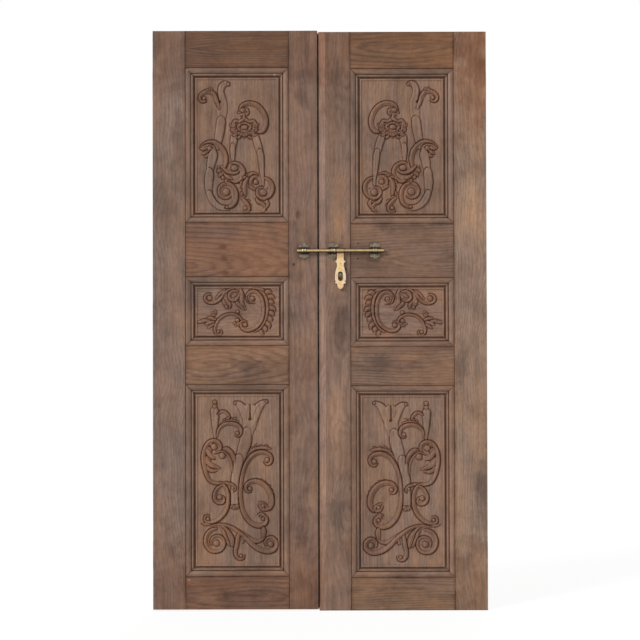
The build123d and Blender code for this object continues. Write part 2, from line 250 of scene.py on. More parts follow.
def wood(name, grain_along, tone, heart, ring_gap=7.0, figure=0.6, dust=0.5, wander=40.0, cuts=False, joints=(), eye=(0, 0), smudges=()):
    """tone is the board's middle colour. heart is where the log's heart lies: its place across the board
    (x for an upright, z for a level board) and its depth behind the front face, in millimetres. ring_gap is
    the width of one year's ring, wander how far the heart strays along the log, both in millimetres."""
    material, tree = new_material(name)
    place = node(tree, "TexCoord").outputs["Object"]
    turn = (0, math.radians(-90), 0) if grain_along == "X" else (0, 0, 0)
    log = node(tree, "Mapping", {"Vector": place}, {"Rotation": turn}).outputs[0]
    across = -heart[0] if grain_along == "X" else heart[0]

    slow = node(tree, "Mapping", {"Vector": log}, {"Scale": (2.5, 2.5, 1.7), "Location": (across * 0.01, 0, 0)}).outputs[0]
    stray = node(tree, "TexNoise", {"Vector": slow}, {"Scale": 1.6, "Detail": 1.5, "Roughness": 0.45}).outputs["Color"]
    stray = node(tree, "VectorMath", {0: stray}, {1: (0.5, 0.5, 0.5)}, operation="SUBTRACT").outputs[0]
    stray = node(tree, "VectorMath", {0: stray}, {1: (2.2 * wander * mm, 3.4 * wander * mm, 0)}, operation="MULTIPLY").outputs[0]
    middle = (-across * mm, heart[1] * mm, -eye[0] * mm)
    offset = node(tree, "VectorMath", {0: log}, {1: middle}, operation="ADD").outputs[0]
    offset = node(tree, "VectorMath", {0: offset, 1: stray}, operation="ADD").outputs[0]
    offset = node(tree, "VectorMath", {0: offset}, {1: (1, 1, eye[1])}, operation="MULTIPLY").outputs[0]
    radius = node(tree, "VectorMath", {0: offset}, operation="LENGTH").outputs["Value"]

    fine_place = node(tree, "Mapping", {"Vector": log}, {"Scale": (520.0, 520.0, 11.0)}).outputs[0]
    fine = node(tree, "TexNoise", {"Vector": fine_place}, {"Scale": 1.0, "Detail": 4.0, "Roughness": 0.6}).outputs["Fac"]
    broad_place = node(tree, "Mapping", {"Vector": log}, {"Scale": (75.0, 75.0, 2.6)}).outputs[0]
    broad = node(tree, "TexNoise", {"Vector": broad_place}, {"Scale": 1.0, "Detail": 3.0, "Roughness": 0.55}).outputs["Fac"]
    cloud_place = node(tree, "Mapping", {"Vector": log}, {"Scale": (11.0, 11.0, 3.0)}).outputs[0]
    cloud = node(tree, "TexNoise", {"Vector": cloud_place}, {"Scale": 1.0, "Detail": 4.0, "Roughness": 0.6}).outputs["Fac"]
    spot = node(tree, "TexNoise", {"Vector": place}, {"Scale": 19.0, "Detail": 4.0, "Roughness": 0.6}).outputs["Fac"]

    year = maths(tree, "MULTIPLY", maths(tree, "POWER", maths(tree, "MULTIPLY", radius, 1000 / ring_gap), 0.88), 1.15)
    year = maths(tree, "ADD", year, maths(tree, "MULTIPLY", broad, 1.5))
    ring = maths(tree, "FRACT", year)
    line = colours(tree, ring, [(0.0, (0.66, 0.6, 0.56)), (0.16, (1.02, 1.02, 1.02)), (0.55, (1.1, 1.09, 1.07)), (0.88, (0.7, 0.64, 0.6)), (1.0, (0.6, 0.53, 0.49))])
    fade = node(tree, "MapRange", {"Value": cloud}, {"From Min": 0.36, "From Max": 0.62, "To Min": 0.45 * figure, "To Max": figure}).outputs[0]

    dusty = node(tree, "MapRange", {"Value": cloud}, {"From Min": 0.38 + 0.2 * (0.5 - dust), "From Max": 0.6 + 0.2 * (0.5 - dust)}).outputs[0]
    colour = mixed(tree, dusty, tinted(tone, orange_of_teak), tinted(tone, grey_of_dust))
    colour = mixed(tree, fade, colour, line, "MULTIPLY")
    stripe = colours(tree, broad, [(0.32, (0.74, 0.71, 0.68)), (0.5, (1.0, 1.0, 1.0)), (0.68, (1.15, 1.14, 1.12))])
    colour = mixed(tree, 0.6, colour, stripe, "MULTIPLY")
    fibre = colours(tree, fine, [(0.34, (0.74, 0.72, 0.7)), (0.52, (1.0, 1.0, 1.0)), (0.7, (1.12, 1.12, 1.12))])
    colour = mixed(tree, 0.55, colour, fibre, "MULTIPLY")
    shade_place = node(tree, "Mapping", {"Vector": log}, {"Scale": (8.0, 8.0, 4.5), "Location": (3.1, 1.7, 0.4)}).outputs[0]
    shade = node(tree, "TexNoise", {"Vector": shade_place}, {"Scale": 1.0, "Detail": 8.0, "Roughness": 0.7}).outputs["Fac"]
    shade = colours(tree, shade, [(0.34, (0.68, 0.66, 0.65)), (0.5, (1.0, 1.0, 1.0)), (0.64, (1.2, 1.17, 1.13))])
    colour = mixed(tree, 0.88, colour, shade, "MULTIPLY")
    stain = colours(tree, spot, [(0.36, (0.78, 0.75, 0.73)), (0.5, (1.0, 1.0, 1.0)), (0.66, (1.13, 1.1, 1.07))])
    colour = mixed(tree, 0.45, colour, stain, "MULTIPLY")
    fleck_place = node(tree, "Mapping", {"Vector": log}, {"Scale": (230.0, 230.0, 42.0)}).outputs[0]
    fleck = node(tree, "TexNoise", {"Vector": fleck_place}, {"Scale": 1.0, "Detail": 3.0, "Roughness": 0.7}).outputs["Fac"]
    fleck = colours(tree, fleck, [(0.33, (0.72, 0.7, 0.69)), (0.5, (1.0, 1.0, 1.0)), (0.66, (1.2, 1.19, 1.18))])
    colour = mixed(tree, 0.6, colour, fleck, "MULTIPLY")
    for x, z, wide, high, tint in smudges:
        spread_out = {"Scale": (1000 / wide, 0, 1000 / high), "Location": (-x / wide, 0, -z / high)}
        spot_place = node(tree, "Mapping", {"Vector": place}, spread_out).outputs[0]
        far = node(tree, "VectorMath", {0: spot_place}, operation="LENGTH").outputs["Value"]
        ragged = maths(tree, "ADD", far, maths(tree, "MULTIPLY", maths(tree, "SUBTRACT", spot, 0.5), 2.2))
        inside = node(tree, "MapRange", {"Value": ragged}, {"From Min": 1.25, "From Max": 0.45}).outputs[0]
        colour = mixed(tree, inside, colour, mixed(tree, 1.0, colour, tint, "MULTIPLY"))
    if joints:
        far = joint_distance(tree, place, joints)
        far = maths(tree, "ADD", far, maths(tree, "MULTIPLY", maths(tree, "SUBTRACT", spot, 0.5), 0.0035))
        seam = colours(tree, maths(tree, "MULTIPLY", far, 50), [(0.0, (0.3, 0.22, 0.18)), (0.06, (0.4, 0.31, 0.26)), (0.12, (0.82, 0.77, 0.73)), (0.6, (1.0, 1.0, 1.0))])
        colour = mixed(tree, 0.92, colour, seam, "MULTIPLY")

    # Dirt and painted shade: ambient occlusion darkens grooves, corners and the carving's hollows, where old dirt lies
    # and shade falls.
    hollow = node(tree, "AmbientOcclusion", values={"Distance": 0.008}, samples=6).outputs["AO"]
    hollow = colours(tree, hollow, [(0.2, (0.36, 0.25, 0.19)), (0.55, (0.76, 0.67, 0.6)), (0.85, (1.0, 1.0, 1.0))])
    colour = mixed(tree, 0.72, colour, hollow, "MULTIPLY")
    if cuts:
        # Dirt and painted shade: the deeper a point lies among its neighbours, the darker it is coloured.
        dirt_and_shade = node(tree, "Attribute", attribute_name="cut_dirt_and_shade").outputs["Fac"]
        dirt_and_shade = colours(tree, dirt_and_shade, [(0.0, (1.0, 1.0, 1.0)), (0.3, (0.86, 0.73, 0.64)), (1.0, (0.38, 0.21, 0.14))])
        colour = mixed(tree, 0.9, colour, dirt_and_shade, "MULTIPLY")
        # Tones of the carved bands and husks, with dirt and painted shade darkest in the trenches.
        oil_and_shade = node(tree, "Attribute", attribute_name="old_oil_and_shade").outputs["Fac"]
        oil_and_shade = maths(tree, "MULTIPLY", oil_and_shade, 1 / 1.5)
        oil_and_shade = colours(tree, oil_and_shade, [(0.2, (1.08, 1.1, 1.11)), (0.333, (1.04, 1.04, 1.04)), (0.667, (0.9, 0.79, 0.71)), (1.0, (0.74, 0.53, 0.42))])
        colour = mixed(tree, 1.0, colour, oil_and_shade, "MULTIPLY")

    rough = maths(tree, "ADD", maths(tree, "MULTIPLY", fine, 0.22), 0.46)
    relief = maths(tree, "ADD", maths(tree, "MULTIPLY", fine, 0.8), maths(tree, "MULTIPLY", ring, 0.2))
    bump = node(tree, "Bump", {"Height": relief}, {"Strength": 0.3, "Distance": 0.0006}).outputs[0]
    shader = node(tree, "BsdfPrincipled", {"Base Color": colour, "Roughness": rough, "Normal": bump}, {"Specular IOR Level": 0.35})
    node(tree, "OutputMaterial", {"Surface": shader.outputs[0]})
    return material


# %% The boards, each with its own tone and heart
tone_of_board = {
    "left_hanging_stile": ((0.243, 0.159, 0.122), (-640, 90)),
    "left_meeting_stile": ((0.240, 0.144, 0.102), (-10, 75)),
    "right_meeting_stile": ((0.242, 0.149, 0.106), (120, 95)),
    "right_hanging_stile": ((0.292, 0.192, 0.137), (660, 80)),
    "left_top_rail": ((0.152, 0.078, 0.045), (2075, 26)),
    "right_top_rail": ((0.212, 0.107, 0.056), (2075, 4)),
    "left_lock_rail": ((0.210, 0.110, 0.069), (1272, 6)),
    "right_lock_rail": ((0.205, 0.125, 0.089), (1290, 50)),
    "left_lower_rail": ((0.238, 0.136, 0.087), (905, 6)),
    "right_lower_rail": ((0.209, 0.125, 0.087), (905, 40)),
    "left_bottom_rail": ((0.187, 0.098, 0.062), (50, 35)),
    "right_bottom_rail": ((0.220, 0.131, 0.084), (80, 30)),
    "right_meeting_strip": ((0.335, 0.215, 0.165), (60, 60)),
}
eye_of_board = {
    "left_lock_rail": (-500, 0.24),
    "left_lower_rail": (-400, 0.24),
    "right_top_rail": (300, 0.14),
    "left_bottom_rail": (-250, 0.15),
}
dark_grey = (0.70, 0.70, 0.73)
light_grey = (0.86, 0.88, 0.94)
# Dirt and painted shade round the rosettes and beside the hasp.
hardware_dirt_and_shade = (0.62, 0.56, 0.52)
knot = (0.62, 0.5, 0.46)
rubbed = (1.3, 1.25, 1.16)
# Painted shade: small dark spots stand in for holes that are not cut into the wood.
hole_with_painted_shade = (0.2, 0.17, 0.15)
old_brown = (0.82, 0.73, 0.66)
bare_orange = (0.96, 0.78, 0.66)
smudges_of_board = {
    "left_hanging_stile": [(-550, 2050, 90, 170, old_brown), (-550, 60, 90, 200, old_brown), (-600, 1000, 40, 170, light_grey), (-520, 1750, 26, 120, dark_grey), (-600, 560, 34, 120, light_grey)],
    "left_meeting_stile": [(-60, 2050, 90, 150, old_brown), (-60, 60, 90, 190, old_brown), (-92, 1300, 34, 120, dark_grey), (-57, 1322, 27, 38, hardware_dirt_and_shade), (-70, 1105, 46, 60, light_grey), (-80, 1455, 8, 14, knot), (-95, 1272, 6, 7, hole_with_painted_shade), (-60, 980, 40, 60, rubbed), (-60, 1905, 22, 70, dark_grey), (-70, 320, 30, 120, dark_grey)],
    "right_meeting_stile": [(60, 2050, 90, 150, old_brown), (74, 1425, 24, 46, rubbed), (50, 1322, 27, 38, hardware_dirt_and_shade), (77, 1262, 17, 72, hardware_dirt_and_shade), (14, 1130, 14, 130, rubbed), (78, 1045, 32, 110, dark_grey), (23, 1270, 4, 4, hole_with_painted_shade), (96, 1254, 5, 7, hole_with_painted_shade), (60, 700, 30, 140, rubbed), (62, 330, 26, 90, dark_grey)],
    "right_hanging_stile": [(560, 1950, 90, 280, bare_orange), (560, 2080, 90, 120, old_brown), (560, 60, 90, 220, old_brown), (517, 900, 24, 90, dark_grey), (560, 1500, 30, 120, rubbed), (600, 420, 26, 130, dark_grey)],
    "right_meeting_strip": [(10, 2050, 60, 180, bare_orange), (10, 60, 60, 260, old_brown)],
    "left_lock_rail": [(-370, 1392, 120, 26, light_grey), (-356, 1337, 15, 7, knot), (-352, 1296, 14, 9, knot), (-350, 1243, 16, 7, knot)],
    "right_lock_rail": [(330, 1405, 130, 18, dark_grey), (204, 1322, 27, 38, hardware_dirt_and_shade), (142, 1349, 4, 4, hole_with_painted_shade), (141, 1293, 4, 4, hole_with_painted_shade), (210, 1265, 90, 22, dark_grey)],
    "left_lower_rail": [(-250, 900, 70, 24, dark_grey)],
    "right_lower_rail": [(230, 905, 60, 34, dark_grey), (330, 925, 60, 22, rubbed)],
}
chip = (2.0, 2.1, 2.2)
corner_chips = [(-165, 1972, 5, 7, chip), (-487, 1414, 5, 4, chip), (-486, 1990, 4, 3, chip)]
smudges_of_board["left_bottom_rail"] = [(-483, 114, 6, 4, chip), (-300, 60, 90, 16, dark_grey)]
board_wood = {}
for name, (tone, heart) in tone_of_board.items():
    level = name.endswith("rail")
    look = {"figure": 0.9, "wander": 20, "dust": 0.35, "joints": ("shoulders", "edges")} if level else {"figure": 0.5, "wander": 45, "dust": 0.6, "joints": ("shoulders",)}
    if name in ("left_meeting_stile", "right_meeting_strip"):
        look["joints"] = ("shoulders", "meeting")
    look["ring_gap"] = 13.0 if name in eye_of_board else 7.0
    board_wood[name] = wood(name + "_wood", "X" if level else "Z", tone, heart, eye=eye_of_board.get(name, (0, 0)), smudges=smudges_of_board.get(name, ()), **look)
panel_wood = {
    "top": wood("top_panel_wood", "Z", (0.229, 0.141, 0.100), (0, 60), figure=0.35, cuts=True),
    "middle": wood("middle_panel_wood", "X", (0.243, 0.150, 0.108), (1100, 60), figure=0.4, cuts=True),
    "bottom": wood("bottom_panel_wood", "Z", (0.250, 0.156, 0.111), (0, 60), figure=0.35, cuts=True),
}
upright_moulding_wood = wood("upright_moulding_wood", "Z", (0.242, 0.150, 0.108), (0, 150), figure=0.3, joints=("shoulders", "mitres"), smudges=corner_chips)
level_moulding_wood = wood("level_moulding_wood", "X", (0.232, 0.142, 0.100), (1000, 150), figure=0.3, joints=("edges", "mitres"), smudges=corner_chips)
print("woods:", len(board_wood) + 5)

# %% [markdown]
# The six panels are the heart of this door. A carver drew scrolls, husks and curled leaves on each one,
# sank the ground round them, and then rounded every band with gouges. Each panel could be sculpted by
# hand, but a relief has one depth at every place, so a height map built from drawn strokes is simpler to
# change. A stroke here is a line of (across, up, width) rows in millimetres, measured from the panel
# opening's corner beside the hanging stile, and later strokes lie over earlier ones as the leaves do.

# %% How a carved stroke runs
def smooth_line(rows, spacing=2.0):
    """Points along a flowing line through the rows, one about every spacing millimetres."""
    rows = np.array(rows, float)
    ends = np.vstack([2 * rows[0] - rows[1], rows, 2 * rows[-1] - rows[-2]])
    line = []
    for a, b, c, d in zip(ends, ends[1:], ends[2:], ends[3:]):
        count = max(2, int(np.hypot(*(c - b)[:2]) / spacing))
        t = np.arange(count)[:, None] / count
        curve = 2 * b + (c - a) * t + (2 * a - 5 * b + 4 * c - d) * t**2 + (3 * b - a - 3 * c + d) * t**3
        line.append(curve / 2)
    return np.vstack(line + [rows[-1:]])


def bend_side(line, reach=8):
    """Which side of the line its bend opens to, from -1 to 1, worked out over a short stretch."""
    heading = np.unwrap(np.arctan2(*np.diff(line[:, :2], axis=0).T[::-1]))
    heading = np.append(heading, heading[-1])
    padded = np.pad(heading, reach, mode="edge")
    turn = padded[2 * reach:] - padded[:-2 * reach]
    return np.tanh(4 * turn)


# %% How far each place is from a stroke
def follow(relief, line, margin):
    """Across: distance from the line as a signed share of the half width. Beyond: distance outside it."""
    shape = relief["height"].shape
    best = np.full(shape, np.inf)
    across = np.zeros(shape)
    side = np.zeros(shape)
    along = np.zeros(shape)
    bends = bend_side(line)
    us, vs = relief["u"], relief["v"]
    for i in range(len(line) - 1):
        (u0, v0, w0), (u1, v1, w1) = line[i], line[i + 1]
        reach = max(w0, w1) / 2 + margin
        i0, i1 = np.searchsorted(us, [min(u0, u1) - reach, max(u0, u1) + reach])
        j0, j1 = np.searchsorted(vs, [min(v0, v1) - reach, max(v0, v1) + reach])
        if i1 <= i0 or j1 <= j0:
            continue
        du, dv = u1 - u0, v1 - v0
        length = np.hypot(du, dv) + 1e-9
        pu = us[None, i0:i1] - u0
        pv = vs[j0:j1, None] - v0
        t = np.clip((pu * du + pv * dv) / length**2, 0, 1)
        far = np.hypot(pu - t * du, pv - t * dv)
        half = (w0 + (w1 - w0) * t) / 2
        beyond = far - half
        window = (slice(j0, j1), slice(i0, i1))
        nearer = beyond < best[window]
        best[window] = np.where(nearer, beyond, best[window])
        sign = np.sign(du * pv - dv * pu)
        across[window] = np.where(nearer, sign * far / np.maximum(half, 0.5), across[window])
        side[window] = np.where(nearer, bends[i], side[window])
        along[window] = np.where(nearer, (i + t) / (len(line) - 1), along[window])
    return best, across, side, along


# %% The gouge's profiles
def scroll(across, side, along):
    """A rounded band that stands high outside its bend and falls inwards, with a thin line cut inside."""
    edge = 0.34 - 0.24 * across * side
    dome = edge + (1 - edge) * np.sqrt(np.clip(1 - across**2, 0, 1)) * (1 - 0.22 * across * side)
    return dome - 0.34 * np.abs(side) * np.exp(-(((across - 0.42 * np.sign(side)) / 0.17) ** 2))


def husk(across, side, along):
    """A wide flat stalk with rounded edges, which starts high over the one before it and falls away."""
    return 1.1 - 0.36 * along - 0.5 * np.abs(across) ** 5 - 0.16 * np.exp(-((across / 0.55) ** 2))


def leaf(across, side, along):
    """A leaf with a raised rib, a vein cut on both sides of it and a falling edge."""
    dome = 0.3 + 0.7 * np.sqrt(np.clip(1 - across**2, 0, 1))
    return dome - 0.2 * np.exp(-(((np.abs(across) - 0.38) / 0.16) ** 2))


def plain(across, side, along):
    """A simple rounded band."""
    return 0.35 + 0.65 * np.sqrt(np.clip(1 - across**2, 0, 1))


# %% Laying strokes, balls and cuts
trench_width = 4.4
trench_depth = 2.6
relief_height = 6.4


def trench(relief, beyond, depth=trench_depth, outer=1.0):
    """The narrow cut that sets a stroke off from whatever lies beside it, deepest outside its bend."""
    share = 0.3 + 0.7 * outer
    slope = np.clip(1 - beyond / (trench_width * share), 0, 1) ** 0.8
    cut = np.where(beyond > 0, depth * share * slope, 0)
    floor = np.minimum(relief["height"], 0) - depth
    lowered = np.maximum(relief["height"] - cut * (1 + 0.25 * np.maximum(relief["height"], 0)), floor)
    lowered = np.maximum(lowered, -trench_depth)
    relief["height"] = np.where(beyond > 0, lowered, relief["height"])
    # Dirt and painted shade: the floor of each trench is marked for the darkest tone.
    relief["oil_and_shade"] = np.where((beyond > 0) & (cut > 0.5), 1.5, relief["oil_and_shade"])


def stroke(relief, rows, profile=scroll, height=relief_height, depth=trench_depth, lean=1, merge=False):
    """lean is -1 where a band stands high on the inside of its bend instead. A merged stroke grows out of
    what it lies on, with no cut round it."""
    line = smooth_line(rows)
    beyond, across, side, along = follow(relief, line, trench_width + 1)
    side = side * lean
    if not merge:
        trench(relief, beyond, depth, np.clip(0.5 - 0.5 * np.sign(across) * side, 0, 1))
    narrow = np.clip(np.interp(along, np.linspace(0, 1, len(line)), line[:, 2]) / 14, 0.45, 1)
    body = height * narrow * profile(across, side, along)
    body = np.maximum(body, relief["height"]) if merge else body
    relief["height"] = np.where(beyond <= 0, body, relief["height"])
    relief["oil_and_shade"] = np.where(beyond <= 0, 0.3 if profile is husk else 1.0, relief["oil_and_shade"])


def petals(relief, u, v, inner, outer, width, first, last, count, stretch=1.0, height=5.0):
    """A fan of small leaves round a point, between two angles in degrees."""
    for angle in np.radians(np.linspace(first, last, count)):
        du, dv = stretch * math.cos(angle), math.sin(angle)
        middle = (inner + outer) / 2
        rows = [(u + du * inner, v + dv * inner, width * 0.6), (u + du * middle, v + dv * middle, width), (u + du * outer, v + dv * outer, width * 0.5)]
        stroke(relief, rows, leaf, height)


def ruffle(relief, rows, side, count, size, height=4.6):
    """Small overlapping lobes along one side of a line: 1 is its left side, -1 its right."""
    line = smooth_line(rows)
    for number in range(count):
        index = int((number + 0.35) / count * (len(line) - 2))
        ahead = line[index + 1, :2] - line[index, :2]
        ahead = ahead / (np.hypot(*ahead) + 1e-9)
        out = np.array([-ahead[1], ahead[0]]) * side
        root = line[index, :2] + out * line[index, 2] * 0.3
        long = size * (1 + 0.25 * math.sin(2.4 * number))
        lobe = [root, root + out * long * 0.6 + ahead * long * 0.2, root + out * long * 0.95 + ahead * long * 0.7]
        stroke(relief, [(*place, size * share) for place, share in zip(lobe, (0.8, 0.9, 0.35))], leaf, height)


def ball(relief, u, v, radius, height=relief_height, stretch=1.0):
    """A round boss, such as the eye of a scroll."""
    far = np.hypot((relief["u"][None, :] - u) / stretch, relief["v"][:, None] - v)
    trench(relief, far - radius, outer=0.5)
    body = height * (0.3 + 0.7 * np.sqrt(np.clip(1 - (far / radius) ** 2, 0, 1)))
    relief["height"] = np.where(far <= radius, body, relief["height"])
    relief["oil_and_shade"] = np.where(far <= radius, 0.9, relief["oil_and_shade"])


def cut(relief, rows, depth=2.5):
    """A line cut with a V tool: its rows give the cut's own width."""
    beyond, across, side, along = follow(relief, smooth_line(rows, 1.5), 0.5)
    lowered = relief["height"] - depth * (1 - np.abs(across))
    relief["height"] = np.where(beyond <= 0, np.maximum(lowered, -trench_depth - 0.4), relief["height"])


def pit(relief, u, v, radius, depth=3.0):
    """A drilled or punched hollow."""
    far = np.hypot(relief["u"][None, :] - u, relief["v"][:, None] - v)
    lowered = relief["height"] - depth * np.sqrt(np.clip(1 - (far / radius) ** 2, 0, 1))
    relief["height"] = np.where(far <= radius, np.maximum(lowered, -trench_depth - 0.6), relief["height"])


# %% [markdown]
# The bottom panel's drawing: a tall stalk of three husks with a forked top, a cone with a ball beside it,
# hooked leaves, and a chain of scrolls that ends in a big spiral at the foot.

# %% Bottom panel drawing
def carve_bottom(relief):
    stroke(relief, [(236, 562, 40), (226, 592, 40), (212, 616, 32), (197, 634, 22), (182, 641, 10)], husk)
    stroke(relief, [(236, 562, 40), (250, 594, 40), (264, 618, 32), (279, 636, 22), (297, 646, 10)], husk)
    stroke(relief, [(237, 612, 52), (237, 590, 56), (236, 562, 48), (231, 545, 42), (229, 530, 36)], husk, merge=True)
    ball(relief, 181, 640, 5.5, 5)
    ball(relief, 298, 645, 5.5, 5)
    cut(relief, [(214, 622, 2), (222, 600, 5), (226, 578, 2)], 2.5)
    cut(relief, [(262, 622, 2), (253, 600, 5), (248, 578, 2)], 2.5)
    cut(relief, [(237, 634, 12), (237, 622, 7), (237, 605, 6), (237, 588, 8)], 8)
    pit(relief, 237, 581, 7, 8)
    stroke(relief, [(226, 540, 22), (224, 530, 34), (220, 500, 42), (210, 465, 40), (203, 440, 34)], husk)
    stroke(relief, [(197, 442, 20), (195, 433, 32), (189, 400, 32), (182, 360, 30), (180, 300, 30), (180, 262, 28)], husk)
    petals(relief, 181, 266, 4, 17, 11, 215, 325, 4, 1.25)
    stroke(relief, [(106, 611, 28), (107, 596, 28), (107, 570, 23), (108, 540, 17), (108, 506, 7)], husk)
    ball(relief, 107, 628, 8, 4.5)
    ball(relief, 107, 643, 7.5)
    stroke(relief, [(120, 600, 6), (131, 608, 9), (144, 607, 10), (154, 597, 11), (157, 583, 12), (152, 570, 11)])
    ruffle(relief, [(140, 566, 8), (160, 574, 8), (188, 572, 5)], 1, 4, 9)
    stroke(relief, [(134, 562, 8), (150, 573, 8), (172, 575, 8), (193, 571, 5)], plain, 5)
    stroke(relief, [(115, 516, 5), (121, 542, 10), (138, 559, 12), (162, 565, 13), (186, 560, 14), (200, 548, 13), (203, 532, 12), (195, 520, 9), (186, 521, 7)])
    ball(relief, 190, 529, 7)
    ruffle(relief, [(88, 500, 8), (78, 470, 10), (74, 440, 10), (76, 405, 10)], 1, 5, 12)
    stroke(relief, [(72, 476, 8), (83, 458, 16), (93, 444, 15), (103, 438, 9)], leaf, 5)
    stroke(relief, [(72, 440, 8), (80, 424, 18), (94, 412, 17), (112, 405, 11), (126, 400, 5)], leaf, 5.5)
    stroke(relief, [(74, 410, 8), (84, 397, 14), (98, 391, 12), (113, 392, 5)], leaf, 4.5)
    pit(relief, 107, 430, 5, 2)
    stroke(relief, [(108, 457, 6), (122, 463, 9), (128, 479, 10), (121, 495, 11), (105, 502, 12), (86, 496, 13), (72, 478, 13), (65, 452, 14), (65, 425, 15), (70, 398, 14), (78, 373, 13), (90, 354, 12), (108, 346, 11), (130, 344, 11), (152, 344, 11), (171, 338, 12), (181, 327, 11), (178, 319, 8)])
    ball(relief, 104, 479, 11)
    ball(relief, 172, 328, 6)
    stroke(relief, [(118, 459, 4), (135, 462, 6), (150, 452, 7), (161, 436, 8), (169, 412, 8), (171, 384, 5)], plain, 4.5)
    stroke(relief, [(181, 424, 5), (176, 443, 11), (166, 459, 14), (153, 471, 12), (141, 474, 5)], leaf)
    ball(relief, 134, 447, 11)
    ruffle(relief, [(238, 462, 8), (262, 472, 9), (286, 473, 9), (304, 466, 6)], 1, 4, 9)
    stroke(relief, [(230, 455, 5), (250, 470, 9), (276, 475, 10), (297, 474, 10), (312, 470, 5)], plain, 4.8)
    stroke(relief, [(291, 422, 7), (299, 415, 9), (309, 419, 10), (315, 431, 11), (312, 445, 12), (299, 455, 13), (280, 459, 14), (260, 455, 14), (242, 443, 14), (227, 425, 13), (216, 403, 13), (208, 376, 13), (203, 345, 13), (201, 310, 13), (203, 275, 14), (210, 245, 15), (224, 217, 16), (244, 197, 16), (267, 189, 16), (286, 193, 14), (296, 206, 13), (294, 220, 11), (284, 227, 9), (275, 222, 7)])
    ball(relief, 299, 430, 8.5)
    ball(relief, 284, 214, 6.5)
    stroke(relief, [(284, 180, 12), (286, 167, 18), (284, 148, 12)], leaf, 5)
    ruffle(relief, [(252, 352, 8), (285, 342, 8), (305, 320, 8), (316, 290, 8)], 1, 6, 8, 4)
    stroke(relief, [(238, 314, 6), (227, 315, 9), (220, 327, 11), (225, 341, 12), (240, 350, 15), (262, 351, 17), (285, 341, 18), (303, 321, 19), (313, 297, 19), (314, 271, 18), (306, 254, 16), (292, 249, 12)])
    ball(relief, 236, 325, 7.5)
    stroke(relief, [(296, 246, 7), (282, 250, 12), (271, 262, 8)], leaf, 5.5)
    stroke(relief, [(300, 258, 8), (286, 268, 11), (272, 275, 6)], leaf, 5)
    ball(relief, 284, 261, 7)
    stroke(relief, [(292, 222, 7), (280, 232, 10), (268, 230, 5)], leaf, 5)
    stroke(relief, [(126, 346, 9), (141, 336, 12), (151, 318, 13), (155, 294, 13), (153, 268, 14), (146, 245, 14), (132, 225, 14), (114, 210, 13), (95, 203, 12), (79, 203, 11), (69, 212, 9), (73, 223, 8), (84, 225, 6)])
    ball(relief, 81, 214, 6.5)
    stroke(relief, [(60, 198, 5), (72, 194, 9), (88, 193, 6)], leaf, 4)
    stroke(relief, [(131, 338, 8), (116, 325, 11), (106, 306, 12), (106, 288, 12), (116, 275, 11), (132, 272, 9), (141, 283, 8), (136, 295, 6)])
    ball(relief, 124, 294, 9, 5)
    stroke(relief, [(120, 196, 6), (141, 180, 13), (158, 160, 18), (168, 138, 19), (170, 118, 13)], leaf)
    stroke(relief, [(126, 184, 5), (139, 166, 11), (146, 146, 13), (154, 128, 11), (160, 116, 6)], leaf, 5.5)
    stroke(relief, [(112, 178, 8), (94, 173, 12), (80, 160, 13), (73, 143, 13), (73, 124, 13), (80, 108, 12), (93, 97, 12), (110, 94, 11), (127, 99, 11), (138, 112, 10), (141, 128, 10), (135, 143, 9), (122, 151, 9), (107, 150, 8), (96, 142, 8), (92, 130, 7), (94, 119, 6)])
    ball(relief, 112, 125, 11)
    stroke(relief, [(214, 156, 7), (213, 143, 13), (208, 128, 9)], leaf, 5)
    stroke(relief, [(196, 166, 8), (190, 142, 14), (186, 118, 15), (182, 98, 13), (184, 79, 12), (195, 68, 11), (209, 69, 9), (213, 78, 6)], leaf)
    ball(relief, 203, 78, 6)
    pit(relief, 212, 134, 4)
    stroke(relief, [(202, 166, 6), (220, 152, 13), (240, 138, 14), (260, 131, 13), (278, 136, 9), (290, 146, 5)], leaf, 5.5)
    stroke(relief, [(92, 190, 4), (118, 193, 7), (144, 191, 9), (170, 181, 12), (195, 165, 13), (218, 146, 14), (240, 124, 16), (262, 107, 17), (285, 97, 17), (308, 95, 16), (325, 103, 14), (333, 118, 13), (329, 135, 12), (315, 145, 11), (300, 142, 9), (291, 130, 7), (294, 117, 6)])
    ball(relief, 311, 121, 10)


# %% [markdown]
# The middle panel's drawing: a big scroll with a ruffled leaf round its outside, a lily and a curl beside
# it, and an arch that ends in a small volute at the lower left.

